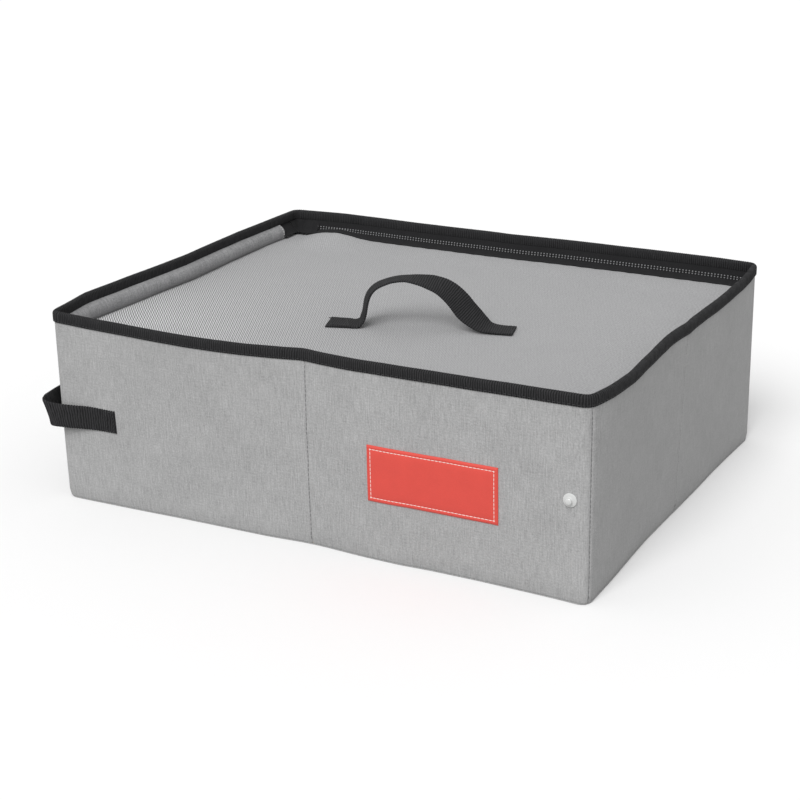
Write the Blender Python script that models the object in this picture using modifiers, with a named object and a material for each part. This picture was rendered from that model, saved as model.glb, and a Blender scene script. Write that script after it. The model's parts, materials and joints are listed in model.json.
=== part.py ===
"""Foldable litter box: a low fabric box on stiffening boards, with a zipped lid.

Metres, +Z up. The long walls run along X, the front is at -Y, and the origin is the
middle of the base's underside. Blender builds it with
blender --background --python part.py
"""
import math

import bmesh
import bpy
from mathutils import Matrix, Vector

MM = 0.001

# Overall size, over the cover fabric
LENGTH = 400 * MM
DEPTH = 314 * MM
HEIGHT = 138 * MM
CORNER_RADIUS = 8 * MM

# Clearances
PLAY = 0.3 * MM
BOARD_PLAY = 0.5 * MM
OVERRUN = 5 * MM

# Wall layers, from the outside in
COVER_THICKNESS = 0.8 * MM
BOARD_THICKNESS = 2.4 * MM
LINER_THICKNESS = 0.6 * MM

# Base layers, from the ground up
BASE_THICKNESS = 0.8 * MM

# Webbing folded over the rim
BINDING_THICKNESS = 1 * MM
BINDING_DROP = 10 * MM

# Zipper between the walls and the lid
ZIP_DROP = 13 * MM
ZIP_SLIT = 1.4 * MM
TAPE_THICKNESS = 0.8 * MM
COIL_THICKNESS = 1.6 * MM
LID_COIL_THICKNESS = 1 * MM
COIL_HEIGHT = 1.8 * MM
WALL_TAPE_START = 14 * MM
LID_TAPE_START = 40 * MM

# Slider and its pull
SLIDER_LENGTH = 12 * MM
SLIDER_START = 17 * MM
SLIDER_PLATE = 1 * MM
SLIDER_WEB = 0.8 * MM
SLIDER_HALF_HEIGHT = 4 * MM
EAR_LENGTH = 2.4 * MM
EAR_HEIGHT = 1.2 * MM
PULL_LENGTH = 14 * MM
PULL_THICKNESS = 0.8 * MM
PULL_CLEARANCE = 0.9 * MM

# Lid
LID_DROP = 19.5 * MM
LID_COVER_THICKNESS = 1.2 * MM
LID_BOARD_THICKNESS = 1.6 * MM
LID_NOTCH_LENGTH = 36 * MM
LID_HINGE_DROP = 9 * MM
HINGE_STRIP_THICKNESS = 0.8 * MM

# Carrying handle on the lid
HANDLE_CENTRE = (23 * MM, -35 * MM)
HANDLE_TURN = math.radians(15.3)
HANDLE_WIDTH = 19 * MM
HANDLE_THICKNESS = 1.4 * MM
HANDLE_REACH = 65.5 * MM
HANDLE_HALF_SPAN = 41 * MM
HANDLE_RISE = 34 * MM

# Closure strap on the front wall's left end, with its snap
STRAP_WIDTH = 16.5 * MM
STRAP_THICKNESS = 1.4 * MM
STRAP_CENTRE_HEIGHT = 64 * MM
STRAP_PATCH_OFFSET = 51.5 * MM
STRAP_PATCH_LENGTH = 9 * MM
STRAP_BULGE = 8.5 * MM
STRAP_STAND = 5 * MM
STRAP_TAIL = 72 * MM
STRAP_TAIL_STAND = 4.5 * MM
SNAP_HEIGHT = 67.5 * MM
SNAP_OFFSET = 12.6 * MM
SNAP_FLANGE_RADIUS = 4.8 * MM
SNAP_FLANGE_THICKNESS = 0.8 * MM
SNAP_POST_RADIUS = 2 * MM
SNAP_POST_LENGTH = 2 * MM
SNAP_CAP_RADIUS = 4 * MM
SOCKET_RADIUS = 5.2 * MM
SOCKET_THICKNESS = 1.6 * MM
SOCKET_BORE_RADIUS = 2.2 * MM
SOCKET_BORE_DEPTH = 1.1 * MM

# Sewn label on the front wall
LABEL_LENGTH = 92 * MM
LABEL_HEIGHT = 38 * MM
LABEL_THICKNESS = 0.6 * MM
LABEL_OFFSET = 94 * MM
LABEL_CENTRE_HEIGHT = 60.5 * MM

# Facets of a rounded corner, of a round fastener and of a strap's curve
CORNER_STEPS = 5
ROUND_SIDES = 24
RIBBON_STEPS = 4

# The handle's arch: shares of its half span and of its rise
ARCH_SHARES = (
    (-0.96, 0.31),
    (-0.93, 0.56),
    (-0.74, 0.83),
    (-0.40, 0.98),
    (0.00, 1.00),
    (0.36, 0.93),
    (0.66, 0.68),
    (0.93, 0.31),
)
SWING_SHARE = 0.30

# The strap's front run: shares of its way from the patch to the bend, and of its stand
STRAP_RUN_SHARES = ((0.0, 0.0), (0.35, 0.03), (0.65, 0.35), (0.85, 0.85), (0.96, 0.98), (1.0, 0.60))
# The strap's tail: shares of its length, and of the bulge that it comes back from
STRAP_TAIL_SHARES = (
    (0.00, 1.00),
    (0.08, 1.35),
    (0.24, 2.30),
    (0.42, 2.90),
    (0.56, 1.90),
    (0.65, 0.50),
    (0.71, 0.00),
    (0.77, 0.00),
    (1.00, 0.00),
)

# Worked out from the sizes above
WALL_THICKNESS = COVER_THICKNESS + PLAY + BOARD_THICKNESS + PLAY + LINER_THICKNESS
BOARD_INSET = COVER_THICKNESS + PLAY
LINER_INSET = BOARD_INSET + BOARD_THICKNESS + PLAY
TAPE_INSET = WALL_THICKNESS + PLAY
COIL_INSET = TAPE_INSET + TAPE_THICKNESS
ZIP_BINDING_INSET = COIL_INSET + PLAY
CORNER_INSET_X = COIL_INSET + COIL_THICKNESS + PLAY
LID_TAPE_INSET = CORNER_INSET_X
LID_COIL_INSET = LID_TAPE_INSET + TAPE_THICKNESS
SLIDER_INSET = LID_COIL_INSET + LID_COIL_THICKNESS + PLAY
PULL_INSET = SLIDER_INSET + SLIDER_PLATE + PLAY
CORNER_INSET_Y = PULL_INSET + PULL_THICKNESS + PULL_CLEARANCE
SIDE = LENGTH / 2
REACH = DEPTH / 2
CORNER_X = SIDE - CORNER_INSET_X
CORNER_Y = REACH - CORNER_INSET_Y
MID_X = SIDE + PLAY + BINDING_THICKNESS + PLAY
FOLD_OFFSET = MID_X - CORNER_X
WALL_FOOT = BASE_THICKNESS + PLAY
WALL_TOP = HEIGHT - BINDING_THICKNESS - PLAY
BASE_BOARD_TOP = WALL_FOOT + BOARD_THICKNESS
FLOOR_LINER_FOOT = BASE_BOARD_TOP + PLAY
BASE_INSET = WALL_THICKNESS + BOARD_PLAY
SLIT_Z = HEIGHT - ZIP_DROP
LID_TOP = HEIGHT - LID_DROP
LID_COVER_FOOT = LID_TOP - LID_COVER_THICKNESS
LID_BOARD_TOP = LID_COVER_FOOT - PLAY
LID_BOARD_FOOT = LID_BOARD_TOP - LID_BOARD_THICKNESS
LID_AXIS_Z = LID_BOARD_FOOT - PLAY
LID_HINGE_X = -SIDE + WALL_THICKNESS + PLAY + BINDING_THICKNESS + BOARD_PLAY
LID_HINGE_Z = HEIGHT - LID_HINGE_DROP
LID_LEFT_INSET = LINER_INSET + LINER_THICKNESS + PLAY + HINGE_STRIP_THICKNESS * 3
LID_NOTCH_INSET = CORNER_INSET_Y + BOARD_PLAY
SLIDER_X = -SIDE + SLIDER_START + SLIDER_LENGTH / 2
TAB_Z = LID_TOP + PLAY + HANDLE_THICKNESS / 2
HANDLE_AXIS_Z = TAB_Z + HANDLE_RISE * SWING_SHARE
STRAP_Y = -REACH - PLAY - STRAP_THICKNESS / 2
STRAP_HINGE_Y = STRAP_Y - STRAP_THICKNESS / 2 - PLAY / 2
STRAP_ROOT_X = -SIDE + STRAP_PATCH_OFFSET - STRAP_PATCH_LENGTH - PLAY
STRAP_BEND_X = -SIDE - STRAP_BULGE
STRAP_BEND_Y = STRAP_Y - STRAP_STAND * STRAP_RUN_SHARES[-1][1]
STRAP_TAIL_X = -SIDE - STRAP_TAIL_STAND
SNAP_X = SIDE - SNAP_OFFSET


def clear_scene():
    """Remove every object that the file opens with."""
    for thing in list(bpy.data.objects):
        bpy.data.objects.remove(thing, do_unlink=True)


def new_collection(name):
    """A collection linked to the scene."""
    collection = bpy.data.collections.new(name)
    bpy.context.scene.collection.children.link(collection)
    return collection


clear_scene()
PARTS = new_collection("foldable_litter_box")
CUTTERS = new_collection("cutters")


def finish(name, colour, roughness, metallic=0.0):
    """A Principled material."""
    material = bpy.data.materials.new(name)
    material.use_nodes = True
    shader = material.node_tree.nodes["Principled BSDF"]
    shader.inputs["Base Color"].default_value = (*colour, 1)
    shader.inputs["Roughness"].default_value = roughness
    shader.inputs["Metallic"].default_value = metallic
    material.diffuse_color = (*colour, 1)
    return material


COVER_FABRIC = finish("grey_oxford_cloth", (0.38, 0.38, 0.38), 0.9)
LID_FABRIC = finish("lid_oxford_cloth", (0.40, 0.40, 0.40), 0.9)
WEBBING = finish("black_webbing", (0.03, 0.03, 0.032), 0.8)
TAPE = finish("zip_tape", (0.015, 0.015, 0.016), 0.75)
BOARD = finish("stiffening_board", (0.50, 0.42, 0.30), 0.85)
LINER = finish("waterproof_liner", (0.55, 0.56, 0.57), 0.45)
LABEL = finish("label_leatherette", (0.69, 0.08, 0.06), 0.6)
SNAP = finish("snap_plastic", (0.85, 0.85, 0.83), 0.3)
ZIP_METAL = finish("zip_slider_metal", (0.05, 0.05, 0.05), 0.4, 0.9)


class Body:
    """A moving body: an empty on its joint's axis, which carries its pieces."""

    def __init__(self, name, pivot, parent=None):
        self.pivot = Vector(pivot)
        self.empty = bpy.data.objects.new(name + "_axis", None)
        self.empty.empty_display_size = BINDING_DROP
        PARTS.objects.link(self.empty)
        if parent is not None:
            self.empty.parent = parent.empty
            self.empty.location = self.pivot - parent.pivot
        else:
            self.empty.location = self.pivot


BACK_WALL = Body("back_wall", (0, 0, 0))
LEFT_REAR = Body("left_wall_rear", (-CORNER_X, CORNER_Y, 0), BACK_WALL)
LEFT_FRONT = Body("left_wall_front", (-MID_X, 0, 0), LEFT_REAR)
FRONT_WALL = Body("front_wall", (-CORNER_X, -CORNER_Y, 0), LEFT_FRONT)
RIGHT_REAR = Body("right_wall_rear", (CORNER_X, CORNER_Y, 0), BACK_WALL)
RIGHT_FRONT = Body("right_wall_front", (MID_X, 0, 0), RIGHT_REAR)
BASE_REAR = Body("base_board_rear", (0, REACH - BASE_INSET, BASE_BOARD_TOP), BACK_WALL)
BASE_FRONT = Body("base_board_front", (0, BASE_INSET - REACH, BASE_BOARD_TOP), FRONT_WALL)
LID = Body("lid", (LID_HINGE_X, 0, LID_HINGE_Z), BACK_WALL)
LID_REAR = Body("lid_rear", (0, CORNER_Y, LID_AXIS_Z), LID)
LID_FRONT = Body("lid_front", (0, 0, LID_AXIS_Z - FOLD_OFFSET), LID_REAR)
LID_ZIP_FRONT = Body("lid_zip_front", (0, -CORNER_Y, LID_AXIS_Z), LID_FRONT)
HANDLE = Body("handle", (*HANDLE_CENTRE, HANDLE_AXIS_Z), LID_FRONT)
SLIDER = Body("zip_slider", (SLIDER_X, -REACH + SLIDER_INSET, SLIT_Z), FRONT_WALL)
PULL = Body("zip_pull", (SLIDER_X, -REACH + PULL_INSET + PULL_THICKNESS / 2, SLIT_Z), SLIDER)
STRAP = Body("strap", (STRAP_ROOT_X, STRAP_HINGE_Y, STRAP_CENTRE_HEIGHT), FRONT_WALL)
STRAP_END = Body("strap_end", (STRAP_BEND_X, STRAP_BEND_Y, STRAP_CENTRE_HEIGHT), STRAP)


def seat(piece, name, body, material):
    """Name a piece, give it its material and hang it on its body, where it stands."""
    piece.name = name
    piece.data.name = name
    piece.data.materials.clear()
    piece.data.materials.append(material)
    for holder in list(piece.users_collection):
        holder.objects.unlink(piece)
    PARTS.objects.link(piece)
    piece.parent = body.empty
    piece.location = piece.location - body.pivot
    return piece


def block(name, low, high, body, material):
    """A box between two corners."""
    low = Vector(low)
    high = Vector(high)
    bpy.ops.mesh.primitive_cube_add(size=1, location=(low + high) / 2)
    piece = bpy.context.object
    piece.scale = high - low
    bpy.ops.object.transform_apply(location=False, rotation=False, scale=True)
    return seat(piece, name, body, material)


# How a flat outline lies: its two axes and the way that it is extruded
LYING = {
    "Z": Matrix.Identity(4),
    "X": Matrix(((0, 0, 1, 0), (1, 0, 0, 0), (0, 1, 0, 0), (0, 0, 0, 1))),
    "Y": Matrix(((1, 0, 0, 0), (0, 0, -1, 0), (0, 1, 0, 0), (0, 0, 0, 1))),
}
ALONG = {"X": Vector((1, 0, 0)), "Y": Vector((0, 1, 0)), "Z": Vector((0, 0, 1))}


def drawn_mesh(drawn):
    """Turn a curve object into a mesh with welded caps, and remove the curve."""
    bpy.context.view_layer.update()
    graph = bpy.context.evaluated_depsgraph_get()
    mesh = bpy.data.meshes.new_from_object(drawn.evaluated_get(graph))
    mesh.transform(drawn.matrix_world)
    curve = drawn.data
    bpy.data.objects.remove(drawn)
    bpy.data.curves.remove(curve)
    solid = bmesh.new()
    solid.from_mesh(mesh)
    bmesh.ops.remove_doubles(solid, verts=solid.verts, dist=PLAY / 100)
    bmesh.ops.recalc_face_normals(solid, faces=solid.faces)
    solid.to_mesh(mesh)
    solid.free()
    return mesh


def slab(name, outline, low, high, body, material, along="Z"):
    """A flat outline, extruded from low to high along an axis."""
    curve = bpy.data.curves.new(name, "CURVE")
    curve.dimensions = "2D"
    curve.fill_mode = "BOTH"
    curve.extrude = (high - low) / 2
    spline = curve.splines.new("POLY")
    spline.points.add(len(outline) - 1)
    for point, (first, second) in zip(spline.points, outline):
        point.co = (first, second, 0, 1)
    spline.use_cyclic_u = True
    drawn = bpy.data.objects.new(name, curve)
    drawn.matrix_world = Matrix.Translation(ALONG[along] * ((low + high) / 2)) @ LYING[along]
    PARTS.objects.link(drawn)
    piece = bpy.data.objects.new(name, drawn_mesh(drawn))
    PARTS.objects.link(piece)
    return seat(piece, name, body, material)


def ribbon(name, path, lying, width, thickness, body, material):
    """A strap: a smooth curve through the path, widened across it and given its thickness."""
    curve = bpy.data.curves.new(name, "CURVE")
    curve.dimensions = "3D"
    curve.resolution_u = RIBBON_STEPS
    curve.extrude = width / 2
    spline = curve.splines.new("BEZIER")
    spline.bezier_points.add(len(path) - 1)
    for point, (first, second) in zip(spline.bezier_points, path):
        point.co = (first, second, 0)
        point.handle_left_type = "AUTO"
        point.handle_right_type = "AUTO"
    drawn = bpy.data.objects.new(name, curve)
    drawn.matrix_world = lying
    PARTS.objects.link(drawn)
    piece = bpy.data.objects.new(name, drawn_mesh(drawn))
    PARTS.objects.link(piece)
    wall = piece.modifiers.new("thickness", "SOLIDIFY")
    wall.thickness = thickness
    wall.offset = 0
    return seat(piece, name, body, material)


def disc(name, radius, centre, low, high, body, material, along="Y"):
    """A round piece whose axis runs along Y, or X, from low to high through a centre."""
    middle = (low + high) / 2
    place = (centre[0], middle, centre[1]) if along == "Y" else (middle, centre[0], centre[1])
    turned = (math.pi / 2, 0, 0) if along == "Y" else (0, math.pi / 2, 0)
    bpy.ops.mesh.primitive_cylinder_add(
        vertices=ROUND_SIDES,
        radius=radius,
        depth=high - low,
        location=place,
        rotation=turned,
    )
    piece = bpy.context.object
    piece.data.shade_smooth()
    piece.data.set_sharp_from_angle(angle=math.radians(40))
    return seat(piece, name, body, material)


def into_cutters(tool):
    """Move a Boolean's second object to the cutters' collection and hide it."""
    PARTS.objects.unlink(tool)
    CUTTERS.objects.link(tool)
    tool.display_type = "WIRE"
    tool.hide_render = True


def combine(piece, tool, operation):
    """A Boolean between two pieces: the second one becomes a hidden tool."""
    into_cutters(tool)
    step = piece.modifiers.new(operation.lower(), "BOOLEAN")
    step.operation = operation
    step.object = tool


def corner_arc(centre, radius, start):
    """A quarter turn, anticlockwise, about a centre; one point where the radius has run out."""
    if radius <= PLAY / 100:
        return [centre]
    turns = (start + math.pi / 2 * step / CORNER_STEPS for step in range(CORNER_STEPS + 1))
    return [(centre[0] + radius * math.cos(turn), centre[1] + radius * math.sin(turn)) for turn in turns]


def wrap_line(inset, leg_end, left_start=None):
    """The back wall's line in plan at an inset, from the right leg round to the left leg.

    With left_start the line stops there on the straight run, short of the left corner.
    """
    radius = max(CORNER_RADIUS - inset, 0)
    centre_x = SIDE - inset - radius
    centre_y = REACH - inset - radius
    line = [(SIDE - inset, leg_end)]
    line += corner_arc((centre_x, centre_y), radius, 0)
    if left_start is not None:
        return line + [(left_start, REACH - inset)]
    line += corner_arc((-centre_x, centre_y), radius, math.pi / 2)
    return line + [(-SIDE + inset, leg_end)]


def wrap_outline(front, outer, inner, leg_end, left_start=None):
    """A long wall's layer in plan, with its legs round the corners; mirrored for the front."""
    line = wrap_line(outer, leg_end, left_start)
    line += reversed(wrap_line(inner, leg_end, left_start))
    if front:
        return [(x, -y) for x, y in reversed(line)]
    return line


LEG_END = CORNER_Y + PLAY
LEG_CUT = CORNER_Y - OVERRUN


def long_binding(name, front, body):
    """The webbing folded over a long wall's rim, slotted for the layers that it clamps."""
    outer = -PLAY - BINDING_THICKNESS
    inner = ZIP_BINDING_INSET + BINDING_THICKNESS
    foot = HEIGHT - BINDING_DROP
    binding = slab(name, wrap_outline(front, outer, inner, LEG_END), foot, HEIGHT, body, WEBBING)
    slot = slab(
        name + "_slot",
        wrap_outline(front, -PLAY, ZIP_BINDING_INSET, LEG_CUT),
        foot - OVERRUN,
        HEIGHT - BINDING_THICKNESS,
        body,
        WEBBING,
    )
    combine(binding, slot, "DIFFERENCE")


def long_zip_tape(name, front, body):
    """The wall's half of the zipper: its tape and its row of coil, round the right corner."""
    start = -SIDE + WALL_TAPE_START
    coil_foot = SLIT_Z + ZIP_SLIT / 2
    tape = slab(
        name,
        wrap_outline(front, TAPE_INSET, COIL_INSET, LEG_END, start),
        coil_foot,
        WALL_TOP,
        body,
        TAPE,
    )
    coil = slab(
        name + "_coil",
        wrap_outline(front, COIL_INSET - PLAY, COIL_INSET + COIL_THICKNESS, LEG_END, start),
        coil_foot,
        coil_foot + COIL_HEIGHT,
        body,
        TAPE,
    )
    combine(tape, coil, "UNION")


def long_wall(side, front, body):
    """Cover, two boards, liner, rim binding and zip tape of the back or the front wall."""
    cover = wrap_outline(front, 0, COVER_THICKNESS, LEG_END)
    slab("cover_" + side, cover, WALL_FOOT, WALL_TOP, body, COVER_FABRIC)
    liner = wrap_outline(front, LINER_INSET, LINER_INSET + LINER_THICKNESS, LEG_END)
    slab("liner_" + side, liner, WALL_FOOT, WALL_TOP, body, LINER)
    facing = -1 if front else 1
    depths = sorted((facing * (REACH - BOARD_INSET), facing * (REACH - BOARD_INSET - BOARD_THICKNESS)))
    board_end = SIDE - CORNER_RADIUS
    for hand, low, high in (("left", -board_end, -BOARD_PLAY), ("right", BOARD_PLAY, board_end)):
        block(
            "board_" + side + "_" + hand,
            (low, depths[0], WALL_FOOT),
            (high, depths[1], WALL_TOP),
            body,
            BOARD,
        )
    long_binding("binding_" + side, front, body)
    long_zip_tape("zip_tape_" + side, front, body)


def span(side, outer, inner):
    """The two X values of a short wall's layer between two insets, low one first."""
    return sorted((side * (SIDE - outer), side * (SIDE - inner)))


def short_half(name, side, front, zipped, body):
    """Cover, board, liner and rim binding of half a short wall, and its zip tape if it has one."""
    near, far = (-CORNER_Y, -PLAY / 2) if front else (PLAY / 2, CORNER_Y)

    def layer(piece, outer, inner, low, high, material, margin=0.0):
        across = span(side, outer, inner)
        return block(
            piece + "_" + name,
            (across[0], near + margin, low),
            (across[1], far - margin, high),
            body,
            material,
        )

    layer("cover", 0, COVER_THICKNESS, WALL_FOOT, WALL_TOP, COVER_FABRIC)
    layer("board", BOARD_INSET, BOARD_INSET + BOARD_THICKNESS, WALL_FOOT, WALL_TOP, BOARD, BOARD_PLAY)
    layer("liner", LINER_INSET, LINER_INSET + LINER_THICKNESS, WALL_FOOT, WALL_TOP, LINER)
    slot_inset = ZIP_BINDING_INSET if zipped else WALL_THICKNESS + PLAY
    foot = HEIGHT - BINDING_DROP
    outer = -PLAY - BINDING_THICKNESS
    binding = layer("binding", outer, slot_inset + BINDING_THICKNESS, foot, HEIGHT, WEBBING)
    slot = layer("slot", -PLAY, slot_inset, foot - OVERRUN, HEIGHT - BINDING_THICKNESS, WEBBING, -OVERRUN)
    combine(binding, slot, "DIFFERENCE")
    if zipped:
        coil_foot = SLIT_Z + ZIP_SLIT / 2
        tape = layer("zip_tape", TAPE_INSET, COIL_INSET, coil_foot, WALL_TOP, TAPE)
        coil_top = coil_foot + COIL_HEIGHT
        coil = layer("coil", COIL_INSET - PLAY, COIL_INSET + COIL_THICKNESS, coil_foot, coil_top, TAPE)
        combine(tape, coil, "UNION")


def rounded_plan(half_x, half_y, radius):
    """A rectangle in plan with rounded corners."""
    line = []
    corners = ((1, 1), (-1, 1), (-1, -1), (1, -1))
    for quarter, (along, across) in enumerate(corners):
        centre = (along * (half_x - radius), across * (half_y - radius))
        line += corner_arc(centre, radius, quarter * math.pi / 2)
    return line


def base():
    """The base cloth that the box stands on, two boards that fold up, and the floor's liner."""
    outline = rounded_plan(SIDE, REACH, CORNER_RADIUS)
    slab("base_cover", outline, 0, BASE_THICKNESS, BACK_WALL, COVER_FABRIC)
    edge = REACH - BASE_INSET
    wide = min(CORNER_X - PLAY, SIDE - CORNER_RADIUS)
    narrow = wide - edge + BOARD_PLAY
    for name, facing, body in (("rear", 1, BASE_REAR), ("front", -1, BASE_FRONT)):
        board = [(-wide, edge), (-narrow, BOARD_PLAY), (narrow, BOARD_PLAY), (wide, edge)]
        outline = [(x, facing * y) for x, y in board]
        slab("base_board_" + name, outline, WALL_FOOT, BASE_BOARD_TOP, body, BOARD)
    floor = rounded_plan(SIDE - BASE_INSET, REACH - BASE_INSET, CORNER_RADIUS - BASE_INSET)
    slab("floor_liner", floor, FLOOR_LINER_FOOT, FLOOR_LINER_FOOT + LINER_THICKNESS, BACK_WALL, LINER)


def lid_cover():
    """The lid's cloth, notched at its left corners for the parked slider."""
    left = -SIDE + LID_LEFT_INSET
    notch = -SIDE + LID_NOTCH_LENGTH
    right = SIDE - LID_TAPE_INSET - PLAY
    edge = REACH - LID_TAPE_INSET - PLAY
    notched = REACH - LID_NOTCH_INSET
    half = [(left, notched), (notch, notched), (notch, edge), (right, edge)]
    outline = half + [(x, -y) for x, y in reversed(half)]
    slab("lid_cover", outline, LID_COVER_FOOT, LID_TOP, LID, LID_FABRIC)


def lid_boards():
    """Two stiffening boards under the lid's cloth, hinged at mid depth and clear of the slider."""
    inset = HEIGHT - LID_AXIS_Z + BOARD_PLAY
    wide = CORNER_X - BOARD_PLAY
    narrow = CORNER_X - inset
    cut = CORNER_Y - inset + BOARD_PLAY
    left = -min(narrow, SIDE - LID_NOTCH_LENGTH - BOARD_PLAY)
    for name, facing, body in (("rear", 1, LID_REAR), ("front", -1, LID_FRONT)):
        board = [(wide, CORNER_Y), (narrow, cut), (narrow, BOARD_PLAY)]
        board += [(left, BOARD_PLAY), (left, CORNER_Y)]
        outline = [(x, facing * y) for x, y in board]
        slab("lid_board_" + name, outline, LID_BOARD_FOOT, LID_BOARD_TOP, body, BOARD)


def lid_hinge():
    """The strip of cloth that joins the lid to the left wall under its rim binding."""
    wall_side = -SIDE + WALL_THICKNESS + PLAY
    lid_side = -SIDE + LID_LEFT_INSET - PLAY
    top = HEIGHT - BINDING_DROP - PLAY
    thick = HINGE_STRIP_THICKNESS
    outline = [
        (wall_side, LID_COVER_FOOT),
        (lid_side, LID_COVER_FOOT),
        (lid_side, LID_COVER_FOOT + thick),
        (wall_side + thick, LID_COVER_FOOT + thick),
        (wall_side + thick, top),
        (wall_side, top),
    ]
    reach = REACH - LID_NOTCH_INSET - PLAY
    slab("lid_hinge_strip", outline, -reach, reach, LID, LID_FABRIC, along="Y")


def lid_tape_profile(facing):
    """Section of the lid's half of the zipper, from its wall's inset inwards."""
    tape = facing * (REACH - LID_TAPE_INSET)
    coil = facing * (REACH - LID_COIL_INSET)
    inner = facing * (REACH - LID_COIL_INSET - LID_COIL_THICKNESS)
    foot = LID_TOP + PLAY
    head = SLIT_Z - ZIP_SLIT / 2
    ledge = head - COIL_HEIGHT
    return [(tape, foot), (coil, foot), (coil, ledge), (inner, ledge), (inner, head), (tape, head)]


def lid_zip():
    """The lid's half of the zipper, along its back, front and right edges."""
    start = -SIDE + LID_TAPE_START
    stop = SIDE - LID_TAPE_INSET - TAPE_THICKNESS - LID_COIL_THICKNESS - PLAY
    for side, facing, body in (("back", 1, LID), ("front", -1, LID_ZIP_FRONT)):
        slab("zip_tape_lid_" + side, lid_tape_profile(facing), start, stop, body, TAPE, along="X")
    shift = SIDE - REACH
    profile = [(depth + shift, height) for depth, height in lid_tape_profile(1)]
    reach = REACH - LID_TAPE_INSET
    slab("zip_tape_lid_right", profile, -reach, reach, LID, TAPE, along="Y")


def slider():
    """The slider: a plate each side of the coil and a web through the slit; ears hold its pull."""
    low = SLIDER_X - SLIDER_LENGTH / 2
    high = SLIDER_X + SLIDER_LENGTH / 2
    front = -REACH + SLIDER_INSET
    rear = -REACH + LID_TAPE_INSET - PLAY
    web_top = SLIT_Z + SLIDER_WEB / 2
    web_foot = SLIT_Z - SLIDER_WEB / 2
    outline = [
        (rear - SLIDER_PLATE, LID_TOP + PLAY),
        (rear, LID_TOP + PLAY),
        (rear, web_foot),
        (front, web_foot),
        (front, SLIT_Z - SLIDER_HALF_HEIGHT),
        (front + SLIDER_PLATE, SLIT_Z - SLIDER_HALF_HEIGHT),
        (front + SLIDER_PLATE, SLIT_Z + SLIDER_HALF_HEIGHT),
        (front, SLIT_Z + SLIDER_HALF_HEIGHT),
        (front, web_top),
        (rear - SLIDER_PLATE, web_top),
    ]
    plates = slab("zip_slider", outline, low, high, SLIDER, ZIP_METAL, along="X")
    for tag, sign in (("upper", 1), ("lower", -1)):
        heights = sorted((sign * SLIDER_HALF_HEIGHT, sign * (SLIDER_HALF_HEIGHT - EAR_HEIGHT)))
        ear = block(
            "zip_slider_ear_" + tag,
            (SLIDER_X - EAR_LENGTH / 2, front + SLIDER_PLATE / 2, SLIT_Z + heights[0]),
            (SLIDER_X + EAR_LENGTH / 2, -REACH + PULL_INSET + PULL_THICKNESS, SLIT_Z + heights[1]),
            SLIDER,
            ZIP_METAL,
        )
        combine(plates, ear, "UNION")


def pull():
    """The pull tab, held between the slider's ears and lying towards the left corner."""
    half = SLIDER_HALF_HEIGHT - EAR_HEIGHT - PLAY
    near = -REACH + PULL_INSET
    root = SLIDER_X + PULL_THICKNESS / 2
    end = SLIDER_X - PULL_LENGTH + half
    turns = [math.pi * step / CORNER_STEPS for step in range(CORNER_STEPS + 1)]
    tip = [(end - half * math.sin(turn), SLIT_Z + half * math.cos(turn)) for turn in turns]
    outline = [(root, SLIT_Z + half), *tip, (root, SLIT_Z - half)]
    slab("zip_pull", outline, near, near + PULL_THICKNESS, PULL, ZIP_METAL, along="Y")


def handle():
    """The webbing handle: an arch that swings, and its two sewn tabs, which twist with it."""
    centre = Vector((*HANDLE_CENTRE, TAB_Z))
    lying = Matrix.Translation(centre) @ Matrix.Rotation(HANDLE_TURN, 4, "Z") @ LYING["Y"]
    arch = [(HANDLE_HALF_SPAN * along, HANDLE_RISE * up) for along, up in ARCH_SHARES]
    ribbon("lid_handle", arch, lying, HANDLE_WIDTH, HANDLE_THICKNESS, HANDLE, WEBBING)
    for side, foot, above in ((-1, Vector(arch[0]), arch[1]), (1, Vector(arch[-1]), arch[-2])):
        down = (foot - Vector(above)).normalized()
        end = foot + down * PLAY * 2
        rise = end + down * HANDLE_THICKNESS * 2
        path = [
            (side * HANDLE_REACH, 0),
            (rise.x + side * HANDLE_THICKNESS * 9, 0),
            (rise.x + side * HANDLE_THICKNESS * 6, PLAY),
            (rise.x + side * HANDLE_THICKNESS * 2, HANDLE_THICKNESS),
            rise,
            end,
        ]
        name = "handle_tab_left" if side < 0 else "handle_tab_right"
        ribbon(name, path, lying, HANDLE_WIDTH, HANDLE_THICKNESS, LID_FRONT, WEBBING)


def closure_strap():
    """The strap on the front wall's left end: sewn patch, free run and tail with its snap."""
    low = STRAP_CENTRE_HEIGHT - STRAP_WIDTH / 2
    high = STRAP_CENTRE_HEIGHT + STRAP_WIDTH / 2
    near = STRAP_Y - STRAP_THICKNESS / 2
    block(
        "strap_patch",
        (STRAP_ROOT_X + PLAY, near, low),
        (STRAP_ROOT_X + PLAY + STRAP_PATCH_LENGTH, near + STRAP_THICKNESS, high),
        FRONT_WALL,
        WEBBING,
    )
    lying = Matrix.Translation((0, 0, STRAP_CENTRE_HEIGHT))
    run = STRAP_BEND_X - STRAP_ROOT_X
    path = [(STRAP_ROOT_X + run * along, STRAP_Y - STRAP_STAND * out) for along, out in STRAP_RUN_SHARES]
    ribbon("strap_run", path, lying, STRAP_WIDTH, STRAP_THICKNESS, STRAP, WEBBING)
    back = STRAP_BEND_X - STRAP_TAIL_X
    start = STRAP_BEND_Y + PLAY * 3
    tail = [(STRAP_TAIL_X + back * out, start + STRAP_TAIL * along) for along, out in STRAP_TAIL_SHARES]
    ribbon("strap_tail", tail, lying, STRAP_WIDTH, STRAP_THICKNESS, STRAP_END, WEBBING)


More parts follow.
